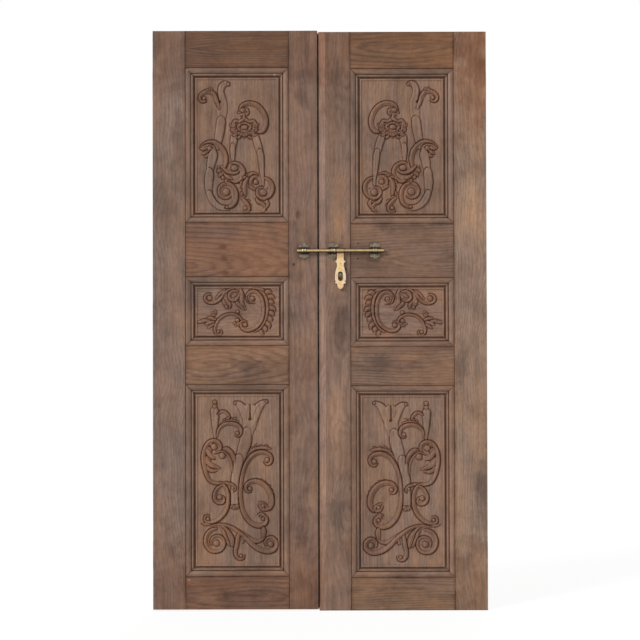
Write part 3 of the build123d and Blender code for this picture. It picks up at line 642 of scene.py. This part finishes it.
# %% Middle panel drawing
def carve_middle(relief):
    stroke(relief, [(238, 208, 6), (262, 212, 9), (284, 208, 9), (297, 200, 5)], plain, 4.5)
    ruffle(relief, [(292, 204, 12), (304, 180, 14), (308, 150, 14), (306, 120, 14), (297, 92, 14), (282, 66, 14), (262, 48, 12)], 1, 9, 15, 5)
    stroke(relief, [(284, 200, 6), (296, 178, 10), (301, 148, 11), (299, 118, 11), (290, 92, 10), (275, 68, 9), (256, 54, 5)], leaf, 5)
    stroke(relief, [(240, 160, 6), (231, 167, 9), (228, 183, 11), (237, 198, 12), (254, 202, 12), (271, 191, 12), (283, 168, 12), (287, 137, 12), (283, 105, 12), (270, 80, 12), (249, 64, 11), (226, 59, 11), (209, 67, 10), (203, 82, 9), (211, 93, 8), (223, 90, 6)])
    stroke(relief, [(232, 182, 6), (240, 168, 11), (252, 160, 6)], leaf, 5)
    ball(relief, 246, 176, 8.5)
    pit(relief, 255, 172, 3.5)
    ball(relief, 220, 80, 8)
    stroke(relief, [(203, 211, 7), (208, 192, 13), (206, 170, 15), (211, 152, 13), (221, 137, 6)], leaf)
    stroke(relief, [(184, 170, 7), (192, 158, 12), (205, 146, 12), (214, 136, 6)], leaf, 5.5)
    stroke(relief, [(138, 172, 7), (143, 160, 12), (150, 148, 8)], leaf, 5.5)
    stroke(relief, [(158, 166, 7), (164, 154, 11), (163, 142, 6)], leaf, 5)
    ball(relief, 151, 145, 6.5, 5)
    stroke(relief, [(91, 192, 7), (79, 190, 8), (72, 180, 9), (75, 169, 9), (87, 161, 9), (104, 161, 10), (119, 168, 10), (132, 181, 10), (143, 196, 10), (157, 206, 10), (176, 211, 7)])
    ball(relief, 89, 178, 9, 4.5)
    stroke(relief, [(112, 176, 5), (122, 188, 8), (134, 200, 8), (146, 210, 5)], plain, 4.6)
    stroke(relief, [(193, 178, 6), (181, 169, 8), (167, 172, 9), (160, 184, 10), (165, 198, 9), (178, 205, 8), (192, 202, 6)])
    stroke(relief, [(172, 183, 6), (181, 189, 12), (191, 195, 6)], leaf, 5)
    stroke(relief, [(208, 96, 6), (198, 108, 9), (181, 117, 9), (161, 118, 9), (141, 112, 10), (124, 99, 10), (113, 81, 10), (108, 63, 10), (112, 50, 9), (123, 44, 8), (132, 50, 7), (130, 58, 5)])
    ball(relief, 121, 54, 6)
    petals(relief, 190, 88, 3, 14, 9, 200, 340, 4)
    ball(relief, 191, 96, 7, 5)
    ball(relief, 192, 127, 6.5, 5)
    petals(relief, 112, 116, 3, 16, 9, 100, 190, 3)
    stroke(relief, [(110, 99, 8), (97, 103, 12), (83, 104, 9)], leaf, 5)
    stroke(relief, [(104, 90, 8), (90, 88, 13), (76, 82, 9)], leaf, 4.8)
    stroke(relief, [(104, 82, 7), (93, 75, 10), (84, 68, 6)], leaf, 4.5)
    stroke(relief, [(86, 95, 7), (70, 95, 12), (56, 91, 12), (48, 90, 8)], leaf)
    pit(relief, 62, 97, 3)


# %% [markdown]
# The top panel's drawing: a tall stem with a blunt tip and a drooping curl, a scroll over a ruffled shell
# that stands on two long legs, a bird-like arch, and three volutes along the bottom.

# %% Top panel drawing
def carve_top(relief):
    stroke(relief, [(132, 476, 20), (132, 494, 21), (137, 508, 22), (147, 516, 19), (159, 516, 11)], husk)
    ball(relief, 159, 514, 6, 5.5)
    cut(relief, [(143, 520, 2), (148, 510, 4), (147, 500, 2)], 2.5)
    stroke(relief, [(131, 490, 20), (135, 470, 24), (138, 445, 31), (137, 420, 36), (135, 398, 34)], husk, merge=True)
    cut(relief, [(113, 486, 4), (120, 465, 7), (128, 448, 9)], 8)
    pit(relief, 128, 448, 5.5, 7)
    stroke(relief, [(127, 424, 9), (117, 450, 14), (110, 470, 15), (100, 483, 15), (86, 487, 15), (70, 484, 13), (58, 474, 12), (54, 461, 10), (62, 451, 9), (74, 453, 8)])
    petals(relief, 91, 490, 3, 12, 9, 40, 150, 3)
    ball(relief, 70, 463, 7)
    stroke(relief, [(133, 386, 22), (132, 377, 31), (128, 345, 32), (122, 310, 29), (116, 285, 27)], husk)
    stroke(relief, [(222, 424, 8), (206, 418, 13), (197, 408, 6)], leaf, 5)
    stroke(relief, [(226, 418, 8), (216, 406, 12), (206, 400, 6)], leaf, 5.5)
    stroke(relief, [(230, 420, 8), (230, 408, 11), (224, 400, 6)], leaf, 5)
    stroke(relief, [(203, 418, 8), (208, 433, 12), (224, 442, 14), (246, 443, 16), (270, 432, 17), (288, 410, 17), (297, 383, 17), (295, 358, 16), (284, 341, 15), (266, 339, 11)])
    ball(relief, 212, 418, 8.5)
    pit(relief, 226, 411, 4)
    stroke(relief, [(180, 318, 26), (178, 300, 24), (176, 283, 20)], husk)
    stroke(relief, [(176, 288, 16), (175, 274, 18), (175, 250, 15), (176, 222, 8)], husk)
    stroke(relief, [(258, 320, 24), (266, 296, 26), (273, 272, 25), (276, 258, 20)], husk)
    stroke(relief, [(275, 266, 18), (278, 250, 22), (281, 217, 19), (283, 190, 15), (286, 165, 11), (286, 136, 7)], husk)
    petals(relief, 218, 346, 14, 30, 14, 195, 345, 7, 1.35, 5)
    stroke(relief, [(196, 330, 8), (183, 338, 14), (177, 354, 15), (182, 370, 9)], leaf, 5.5)
    stroke(relief, [(240, 330, 8), (253, 338, 14), (260, 354, 15), (254, 370, 9)], leaf, 5.5)
    ruffle(relief, [(206, 322, 9), (188, 332, 9), (179, 350, 9), (181, 370, 9)], 1, 4, 10)
    ruffle(relief, [(230, 322, 9), (248, 332, 9), (257, 350, 9), (255, 370, 9)], -1, 4, 10)
    petals(relief, 218, 358, 12, 24, 11, 20, 160, 6, 1.3, 5)
    stroke(relief, [(200, 344, 6), (194, 356, 7), (201, 367, 7), (218, 371, 7), (235, 367, 7), (242, 356, 7), (236, 344, 6)], plain, 5.5)
    ball(relief, 218, 355, 8.5, 6, stretch=1.5)
    pit(relief, 204, 357, 3.5)
    pit(relief, 232, 357, 3.5)
    cut(relief, [(204, 323, 3), (218, 318, 8), (232, 323, 3)], 6)
    for turn in (205, 235, 270, 305, 335):
        du, dv = 1.3 * math.cos(math.radians(turn)), math.sin(math.radians(turn))
        cut(relief, [(218 + 14 * du, 348 + 14 * dv, 2), (218 + 22 * du, 348 + 22 * dv, 3.5), (218 + 29 * du, 348 + 29 * dv, 2)], 3.5)
    stroke(relief, [(174, 366, 7), (184, 379, 10), (200, 376, 9), (218, 386, 12), (236, 376, 9), (252, 378, 10), (264, 364, 7)], plain)
    stroke(relief, [(215, 406, 7), (217, 396, 8), (218, 388, 10)], plain, 5)
    stroke(relief, [(92, 262, 8), (80, 250, 12), (72, 248, 5)], leaf, 5)
    stroke(relief, [(88, 272, 9), (74, 262, 13), (64, 256, 6)], leaf, 5.5)
    stroke(relief, [(84, 280, 9), (68, 276, 13), (56, 278, 6)], leaf, 5)
    stroke(relief, [(104, 270, 18), (102, 252, 31), (97, 230, 31), (92, 203, 26)], husk)
    stroke(relief, [(53, 283, 4), (76, 296, 12), (100, 300, 15), (120, 292, 16), (136, 276, 17), (146, 256, 17), (149, 235, 16), (147, 216, 13), (142, 203, 8)])
    stroke(relief, [(62, 284, 5), (80, 289, 8), (98, 287, 9), (110, 277, 6)], plain, 5)
    ball(relief, 90, 277, 8.5)
    pit(relief, 84, 262, 4)
    stroke(relief, [(89, 194, 22), (89, 185, 29), (86, 150, 30), (87, 118, 24)], husk)
    stroke(relief, [(88, 112, 20), (93, 98, 22), (103, 80, 22), (117, 66, 21), (134, 58, 20), (152, 56, 18), (166, 60, 14)], husk, lean=-1)
    stroke(relief, [(150, 60, 9), (166, 63, 13), (180, 74, 14), (187, 92, 14), (187, 112, 14), (180, 131, 13), (166, 144, 12), (148, 147, 12), (132, 139, 11), (124, 124, 10), (126, 107, 9), (137, 96, 8), (152, 93, 7), (164, 99, 6)])
    ball(relief, 150, 117, 13)
    ball(relief, 153, 60, 6, 5)
    stroke(relief, [(123, 208, 8), (127, 191, 12), (137, 175, 12), (149, 163, 6)], plain, 5)
    ruffle(relief, [(126, 204, 8), (134, 186, 9), (146, 170, 9), (164, 158, 8)], -1, 4, 10)
    stroke(relief, [(168, 223, 6), (186, 223, 10), (203, 214, 12), (214, 197, 13), (213, 177, 13), (202, 162, 12), (184, 154, 11), (170, 160, 8)])
    stroke(relief, [(134, 211, 8), (146, 199, 12), (160, 190, 12), (180, 186, 11), (196, 192, 7)])
    stroke(relief, [(146, 180, 8), (158, 171, 14), (170, 166, 9)], leaf, 5)
    ball(relief, 181, 205, 10.5, stretch=1.2)
    petals(relief, 238, 166, 4, 19, 11, 70, 200, 5)
    ruffle(relief, [(230, 172, 8), (219, 150, 10), (218, 126, 10), (222, 104, 8)], -1, 4, 11)
    stroke(relief, [(229, 168, 7), (219, 148, 14), (218, 126, 15), (221, 104, 9)], leaf)
    stroke(relief, [(233, 181, 5), (248, 186, 8), (267, 181, 5)], plain, 4.5)
    stroke(relief, [(268, 174, 5), (252, 172, 11), (242, 160, 12), (240, 145, 8), (247, 136, 6)], leaf)
    ball(relief, 260, 153, 9)
    stroke(relief, [(236, 138, 7), (249, 130, 11), (263, 122, 8)], leaf)
    stroke(relief, [(294, 168, 7), (309, 159, 12), (320, 142, 13), (321, 121, 13), (312, 103, 12), (296, 93, 12), (278, 94, 11), (266, 106, 9), (264, 120, 8), (272, 131, 7), (284, 133, 6)])
    ball(relief, 287, 114, 12)
    pit(relief, 303, 128, 4)
    stroke(relief, [(262, 92, 7), (270, 80, 12), (284, 72, 12), (294, 60, 11), (290, 48, 9), (280, 44, 6)])
    stroke(relief, [(300, 84, 8), (304, 72, 12), (298, 58, 8)], leaf, 5)
    ruffle(relief, [(206, 96, 6), (219, 84, 9), (231, 68, 9), (236, 52, 8)], 1, 3, 9)
    stroke(relief, [(206, 96, 6), (219, 82, 13), (230, 68, 14), (234, 53, 12), (226, 43, 10), (214, 46, 8)])
    ball(relief, 221, 56, 7.5)


# %% [markdown]
# The carved board itself: a grid of points follows the height map, fine where there is carving and
# coarse on the plain border, and it closes round the back as a real board does. Besides its height, each
# point keeps how deep it lies among its neighbours, so that the wood recipe can put old dirt and painted
# shade there.

# %% Board sizes
front_y = -12.8
ground_depth = 10.0
board_back = 26.0
opening_width = 381.0
ground_edge = 42.0
carving_step = 1.5
opening_left = -494.65
openings = {"bottom": (121.0, 825.0), "middle": (968.0, 1222.0), "top": (1422.0, 1994.0)}
drawings = {"bottom": carve_bottom, "middle": carve_middle, "top": carve_top}
drawing_shift = {
    "left_bottom": (0.3, -4.1),
    "right_bottom": (-3.7, -5.7),
    "left_middle": (-0.1, -2.1),
    "right_middle": (-1.7, -0.8),
    "left_top": (-0.1, -2.8),
    "right_top": (5.3, 2.0),
}


# %% From drawing to height map
def border_depth(inset):
    """Depth behind the leaf's face at a distance in from the opening's edge, outside the sunk ground."""
    return np.interp(inset, [0, 35.5, 36.2, 37.5, 42.0], [14, 14, 9.4, 8.0, 8.0])


def spread(length):
    """Grid lines across one side of the board: a few on the border and fine ones on the carving."""
    edge = [0.0, 24.0, 35.1, 35.5, 36.2, 37.5, 39.5, 41.0, 41.8]
    count = int((length - 2 * ground_edge) / carving_step)
    inside = np.linspace(ground_edge, length - ground_edge, count + 1)
    return np.concatenate([edge, inside, length - np.array(edge[::-1])])


def relief_map(side, which):
    low, high = openings[which]
    us, vs = spread(opening_width), spread(high - low)
    shift_u, shift_v = drawing_shift[f"{side}_{which}"]
    relief = {"u": us - shift_u, "v": vs - shift_v, "height": np.zeros((len(vs), len(us))), "oil_and_shade": np.full((len(vs), len(us)), 0.5)}
    drawings[which](relief)
    if (side, which) == ("right", "middle"):
        cut(relief, [(42, 124, 2.8), (70, 125, 3.2), (110, 123, 2.4), (170, 123, 1.6)], 2.6)
        cut(relief, [(250, 122, 1.8), (290, 121, 3.0), (345, 120, 3.2)], 2.6)
    relief["u"], relief["v"] = us, vs
    inset_u = np.minimum(us, opening_width - us)[None, :]
    inset_v = np.minimum(vs, high - low - vs)[:, None]
    inset = np.minimum(inset_u, inset_v)
    border = border_depth(inset)
    step = np.clip((inset - 41.9) / 1.6, 0, 1)
    sunk = ground_depth - relief["height"]
    relief["depth"] = np.where(inset < 41.9, border, border * (1 - step) + sunk * step)
    return relief


def blurred(grid, reach):
    for axis in (0, 1):
        padded = np.apply_along_axis(lambda row: np.pad(row, reach, mode="edge"), axis, grid)
        total = np.cumsum(padded, axis=axis)
        total = np.insert(total, 0, 0, axis=axis)
        size = 2 * reach + 1
        upper = np.take(total, range(size, total.shape[axis]), axis=axis)
        lower = np.take(total, range(0, total.shape[axis] - size), axis=axis)
        grid = (upper - lower) / size
    return grid


# %% From height map to board
def carved_board(side, which):
    relief = relief_map(side, which)
    us, vs, depth = relief["u"], relief["v"], relief["depth"]
    low = openings[which][0] + (left_lift if side == "left" else 0)
    x = opening_left + us if side == "left" else -(opening_left + us)
    columns, rows = len(us), len(vs)
    front = np.stack(np.broadcast_arrays(x[None, :], front_y + depth, low + vs[:, None]), axis=-1).reshape(-1, 3)
    ring = np.concatenate([
        np.arange(columns),
        np.arange(1, rows) * columns + columns - 1,
        (rows - 1) * columns + np.arange(columns - 2, -1, -1),
        np.arange(rows - 2, 0, -1) * columns,
    ])
    back = front[ring].copy()
    back[:, 1] = front_y + board_back
    points = np.vstack([front, back]) * mm
    index = np.arange(rows * columns).reshape(rows, columns)
    quads = np.stack([index[:-1, :-1], index[:-1, 1:], index[1:, 1:], index[1:, :-1]], axis=-1).reshape(-1, 4)
    under = rows * columns + np.arange(len(ring))
    walls = np.stack([ring, under, np.roll(under, -1), np.roll(ring, -1)], axis=-1)
    if side == "right":
        quads, walls = quads[:, ::-1], walls[:, ::-1]
    faces = quads.tolist() + walls.tolist() + [(under[::-1] if side == "left" else under).tolist()]
    mesh = bpy.data.meshes.new(f"{side}_{which}_carving")
    mesh.from_pydata(points.tolist(), [], faces)
    smooth = np.zeros(len(faces), bool)
    smooth[: len(quads)] = True
    mesh.polygons.foreach_set("use_smooth", smooth)
    # Dirt and painted shade: how far each point lies below its blurred neighbours.
    dirt_and_shade = np.clip((depth - blurred(depth, 3)) / 2.6, 0, 1) * (ground_depth - 1 < depth)
    dirt_and_shade = np.concatenate([dirt_and_shade.reshape(-1), np.zeros(len(ring))]).astype(np.float32)
    mesh.attributes.new("cut_dirt_and_shade", "FLOAT", "POINT").data.foreach_set("value", dirt_and_shade)
    oil_and_shade = np.concatenate([blurred(relief["oil_and_shade"], 1).reshape(-1), np.full(len(ring), 0.5)]).astype(np.float32)
    mesh.attributes.new("old_oil_and_shade", "FLOAT", "POINT").data.foreach_set("value", oil_and_shade)
    board = bpy.data.objects.new(mesh.name, mesh)
    bpy.context.scene.collection.objects.link(board)
    mesh.materials.append(panel_wood[which])
    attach(board, f"{side}_leaf")
    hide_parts(f"{side}_{which}_panel")
    return board


boards = [carved_board(side, which) for side in ("left", "right") for which in ("bottom", "middle", "top")]
print("carved boards:", {board.name: len(board.data.polygons) for board in boards})

# %% [markdown]
# The strip on the right leaf closes against the left leaf. Its edge has been rubbed and bumped for years,
# so the front corner is worn back a little more here and a little less there, and the edge swells by a
# quarter of a millimetre at the back, where it shuts out the light. A bevel made in one go would give an
# even corner, so the strip is drawn as sections up its length, each with its own wear.

# %% Worn meeting strip
def meeting_strip():
    left, right, back = meeting_line + 0.15, meeting_line + 27.65, front_y + 40.0
    rows, points = 180, []
    for row in range(rows + 1):
        z = 2130.0 * row / rows
        worn = 0.7 + 0.35 * math.sin(0.013 * z + 1) * math.sin(0.047 * z) + 0.25 * math.sin(0.31 * z)
        section = [(left + 2.5, worn), (left + 2.5 + worn, 0), (right, 0), (right, 40), (left - 0.25, 40), (left - 0.25, 37), (left + 0.2, 36)]
        points += [(x, front_y + depth, z) for x, depth in section]
    mesh = bpy.data.meshes.new("right_meeting_strip_worn")
    around = len(section)
    faces = [(a + around * row, b + around * row, b + around * (row + 1), a + around * (row + 1)) for row in range(rows) for a, b in zip(range(around), [*range(1, around), 0])]
    faces += [tuple(range(around))[::-1], tuple(range(around * rows, around * (rows + 1)))]
    mesh.from_pydata([tuple(part * mm for part in point) for point in points], [], faces)
    strip = bpy.data.objects.new(mesh.name, mesh)
    bpy.context.scene.collection.objects.link(strip)
    mesh.materials.append(board_wood["right_meeting_strip"])
    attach(strip, "right_leaf")
    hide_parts("right_meeting_strip")
    return strip


strip = meeting_strip()
print("strip from node:", [tuple(round(v, 4) for v in corner) for corner in (nodes["right_meeting_strip"].bound_box[0], nodes["right_meeting_strip"].bound_box[6])])
print("strip drawn:", [tuple(round(v, 4) for v in corner) for corner in (strip.bound_box[0], strip.bound_box[6])], len(strip.data.polygons), "faces")

# %% [markdown]
# Small fasteners hold the metal on: slotted screws in the hinge flaps that lie against the leaf, and
# round-headed nails through the rosettes. A texture could suggest them, but a screw's slot and a nail's
# dome catch the light, so each is a small solid.

# %% Screw and nail heads
def turned_head(rings, around=20):
    """Points and faces of a small turned shape: rings are (radius, height) pairs, and its axis is Z."""
    turn = np.linspace(0, 2 * math.pi, around, endpoint=False)
    points = [(radius * math.cos(t), radius * math.sin(t), height) for radius, height in rings for t in turn]
    faces = [(around * r + i, around * r + (i + 1) % around, around * (r + 1) + (i + 1) % around, around * (r + 1) + i) for r in range(len(rings) - 1) for i in range(around)]
    faces += [tuple(range(around))[::-1], tuple(range(around * (len(rings) - 1), around * len(rings)))]
    return points, faces


def half_head(side, radius, slot, low, high, steps=12):
    """One half of a slotted head, on one side of its slot."""
    start = math.asin(slot / radius)
    turn = np.linspace(start, math.pi - start, steps)
    rim = [(radius * math.cos(t), side * radius * math.sin(t)) for t in turn][::side]
    points = [(*point, low) for point in rim] + [(*point, high) for point in rim]
    faces = [tuple(range(steps))[::-1], tuple(range(steps, 2 * steps))]
    faces += [(i, (i + 1) % steps, steps + (i + 1) % steps, steps + i) for i in range(steps)]
    return points, faces


def joined(shapes):
    points, faces = [], []
    for some_points, some_faces in shapes:
        faces += [tuple(index + len(points) for index in face) for face in some_faces]
        points += some_points
    return points, faces


screw_head = joined([turned_head([(3.9, -0.4), (3.9, 0.05)]), half_head(1, 3.7, 0.55, 0.0, 0.35), half_head(-1, 3.7, 0.55, 0.0, 0.35)])
nail_head = turned_head([(2.4, -0.3), (2.4, 0.2), (2.0, 0.9), (1.2, 1.4), (0.5, 1.55)])


def fasteners(name, head, places, out, body, finish):
    """Heads at a list of (x, y, z) places in millimetres, each facing the direction out, turned a little each."""
    points, faces = [], []
    for number, place in enumerate(places):
        spin = Matrix.Rotation(0.9 * number + 0.4, 4, "Z")
        facing = Vector(out).to_track_quat("Z", "X").to_matrix().to_4x4()
        put = Matrix.Translation(Vector(place)) @ facing @ spin
        faces += [tuple(index + len(points) for index in face) for face in head[1]]
        points += [tuple(part * mm for part in put @ Vector(point)) for point in head[0]]
    mesh = bpy.data.meshes.new(name)
    mesh.from_pydata(points, [], faces)
    heads = bpy.data.objects.new(name, mesh)
    bpy.context.scene.collection.objects.link(heads)
    mesh.materials.append(finish)
    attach(heads, body)
    return heads


# %% [markdown]
# The brass is clouded, with dull tarnish and rubbed bright patches, and the rosettes behind the rod have
# gone grey. A table of shades by distance above or below the rod paints light as a round bar is lit: a
# painted highlight along the front of the rod, its loops and the hasp's eye, and painted shade above and
# below them. The hasp is yellow, with a painted highlight along its edges by distance from its middle.

# %% Brass recipe
rod_height = 1322.0
hasp_middle = 75.9


def shades(tree, distance, table):
    """Colours by a distance: table holds (millimetres, colour) pairs."""
    longest = table[-1][0]
    share = maths(tree, "MULTIPLY", distance, 1000 / longest)
    return colours(tree, share, [(where / longest, colour) for where, colour in table])


def brass(name, bright, dull, polish, painted_light_and_tone_by_height=(), painted_highlight_by_side=(), rough_low=0.28, rough_high=0.55):
    """polish is the share of the surface that is rubbed bright."""
    material, tree = new_material(name)
    place = node(tree, "TexCoord").outputs["Object"]
    parts = node(tree, "SeparateXYZ", {0: place})
    cloud = node(tree, "TexNoise", {"Vector": place}, {"Scale": 110.0, "Detail": 6.0, "Roughness": 0.62}).outputs["Fac"]
    speck = node(tree, "TexNoise", {"Vector": place}, {"Scale": 900.0, "Detail": 3.0}).outputs["Fac"]
    rub = maths(tree, "ADD", maths(tree, "MULTIPLY", cloud, 0.8), maths(tree, "MULTIPLY", speck, 0.2))
    low = 0.72 - 0.44 * polish
    tone = colours(tree, rub, [(low - 0.14, dull), (low, tuple((a + b) / 2 for a, b in zip(bright, dull))), (low + 0.14, bright)])
    # Painted light, and tone further out: colours by distance above or below the rod.
    if painted_light_and_tone_by_height:
        tone = mixed(tree, 1.0, tone, shades(tree, nearest(tree, parts.outputs["Z"], [rod_height]), painted_light_and_tone_by_height), "MULTIPLY")
    # Painted highlight: colours by distance sideways from the hasp's middle.
    if painted_highlight_by_side:
        tone = mixed(tree, 1.0, tone, shades(tree, nearest(tree, parts.outputs["X"], [hasp_middle]), painted_highlight_by_side), "MULTIPLY")
    # Tarnish and painted shade: ambient occlusion darkens the metal in hollows and where it lies against other parts.
    hollow = node(tree, "AmbientOcclusion", values={"Distance": 0.006}, samples=6).outputs["AO"]
    hollow = colours(tree, hollow, [(0.35, (0.2, 0.16, 0.12)), (0.85, (1.0, 1.0, 1.0))])
    tone = mixed(tree, 0.9, tone, hollow, "MULTIPLY")
    rough = node(tree, "MapRange", {"Value": rub}, {"From Min": low - 0.12, "From Max": low + 0.12, "To Min": rough_high, "To Max": rough_low}).outputs[0]
    bump = node(tree, "Bump", {"Height": rub}, {"Strength": 0.25, "Distance": 0.0006}).outputs[0]
    shader = node(tree, "BsdfPrincipled", {"Base Color": tone, "Roughness": rough, "Normal": bump}, {"Metallic": 0.9})
    node(tree, "OutputMaterial", {"Surface": shader.outputs[0]})
    return material


# Painted light: each table paints a highlight on the front of the rod and shade above and below it. The guides' table
# then gives the rosette plates their grey tarnish, darker at their outer edges; the hasp's gives its plate its own
# colour, darker near the eye.
rod_painted_light = [(0.0, (1.45, 1.4, 1.3)), (2.0, (1.3, 1.25, 1.12)), (3.4, (0.62, 0.55, 0.42)), (5.0, (0.26, 0.21, 0.13)), (7.0, (0.16, 0.12, 0.07))]
guide_painted_light_and_tarnish = [(0.0, (2.2, 2.3, 2.6)), (2.6, (1.7, 1.7, 1.75)), (4.6, (0.7, 0.62, 0.5)), (8.0, (0.22, 0.18, 0.12)), (12.0, (0.3, 0.28, 0.24)), (15.0, (0.92, 0.9, 1.0)), (27.0, (0.84, 0.81, 0.9)), (33.0, (0.4, 0.37, 0.36)), (60.0, (1.0, 1.0, 1.0))]
hasp_painted_light_and_tone = [(0.0, (0.75, 0.78, 0.88)), (2.4, (0.66, 0.67, 0.7)), (4.0, (0.32, 0.3, 0.26)), (8.4, (0.14, 0.12, 0.08)), (9.4, (0.2, 0.18, 0.15)), (10.4, (0.62, 0.6, 0.66)), (22.0, (0.78, 0.74, 0.74)), (34.0, (1.0, 1.0, 1.0)), (70.0, (1.0, 1.02, 1.06))]
# Painted highlight: the hasp grows paler and bluer towards its edges.
hasp_painted_edge_highlight = [(0.0, (1.0, 0.94, 0.84)), (6.0, (1.0, 0.97, 0.92)), (9.5, (0.98, 1.06, 1.3)), (16.0, (0.92, 1.02, 1.36))]
rod_brass = brass("rod_brass", (0.50, 0.39, 0.22), (0.34, 0.25, 0.13), 0.6, rod_painted_light, rough_low=0.22, rough_high=0.42)
guide_brass = brass("guide_brass", (0.36, 0.31, 0.20), (0.15, 0.12, 0.08), 0.45, guide_painted_light_and_tarnish, rough_low=0.26, rough_high=0.55)
hasp_brass = brass("hasp_brass", (0.92, 0.66, 0.33), (0.66, 0.44, 0.20), 0.62, hasp_painted_light_and_tone, hasp_painted_edge_highlight, 0.26, 0.42)
hinge_iron = brass("hinge_iron", (0.16, 0.145, 0.13), (0.055, 0.045, 0.04), 0.4, rough_low=0.42, rough_high=0.7)
print("metals:", 4)

# %% Where the screws and nails go
flap_face = 613.15
flap_middle = front_y + 25.25
hinge_levels = {"left": (205.0, 1080.0, 1935.0), "right": (200.0, 1075.0, 1930.0)}
rosette_middles = {"left": (-56.6,), "right": (50.4, 204.0)}
for side, way in (("left", -1), ("right", 1)):
    screws = [(way * flap_face, flap_middle + row, level + end) for level in hinge_levels[side] for row in (-7, 7) for end in (-33, 33)]
    nails = [(x + along, front_y - 2.0, rod_height + up) for x in rosette_middles[side] for along in (-11.5, 11.5) for up in (-15, 15)]
    fasteners(f"{side}_hinge_screws", screw_head, screws, (way, 0, 0), f"{side}_leaf", hinge_iron)
    fasteners(f"{side}_rosette_nails", nail_head, nails, (0, -1, 0), f"{side}_leaf", guide_brass)
    print(side, "leaf:", len(screws), "screws and", len(nails), "nails")

# %% Finishes for the sized pieces
slots = {}
for name in nodes:
    if "moulding" in name:
        finish, slot = (level_moulding_wood if name.endswith(("_top", "_bottom")) else upright_moulding_wood), "moulding_wood"
    elif "panel" in name:
        finish, slot = panel_wood[name.split("_")[1]], "panel_wood"
    elif name in board_wood:
        finish, slot = board_wood[name], name.split("_")[-1] + "_wood"
    elif "flaps" in name or "hinge" in name:
        finish, slot = hinge_iron, "hinge_iron"
    elif name == "hasp_plate":
        finish, slot = hasp_brass, "hasp_brass"
    else:
        finish, slot = (rod_brass if name == "bolt_rod" else guide_brass), "bolt_brass"
    nodes[name].data.materials.clear()
    nodes[name].data.materials.append(finish)
    slots[name] = slot
print("finished pieces:", len(slots))

# %% [markdown]
# The last step sets plain colour handling.

# %% Finish
bpy.context.scene.view_settings.view_transform = "Standard"
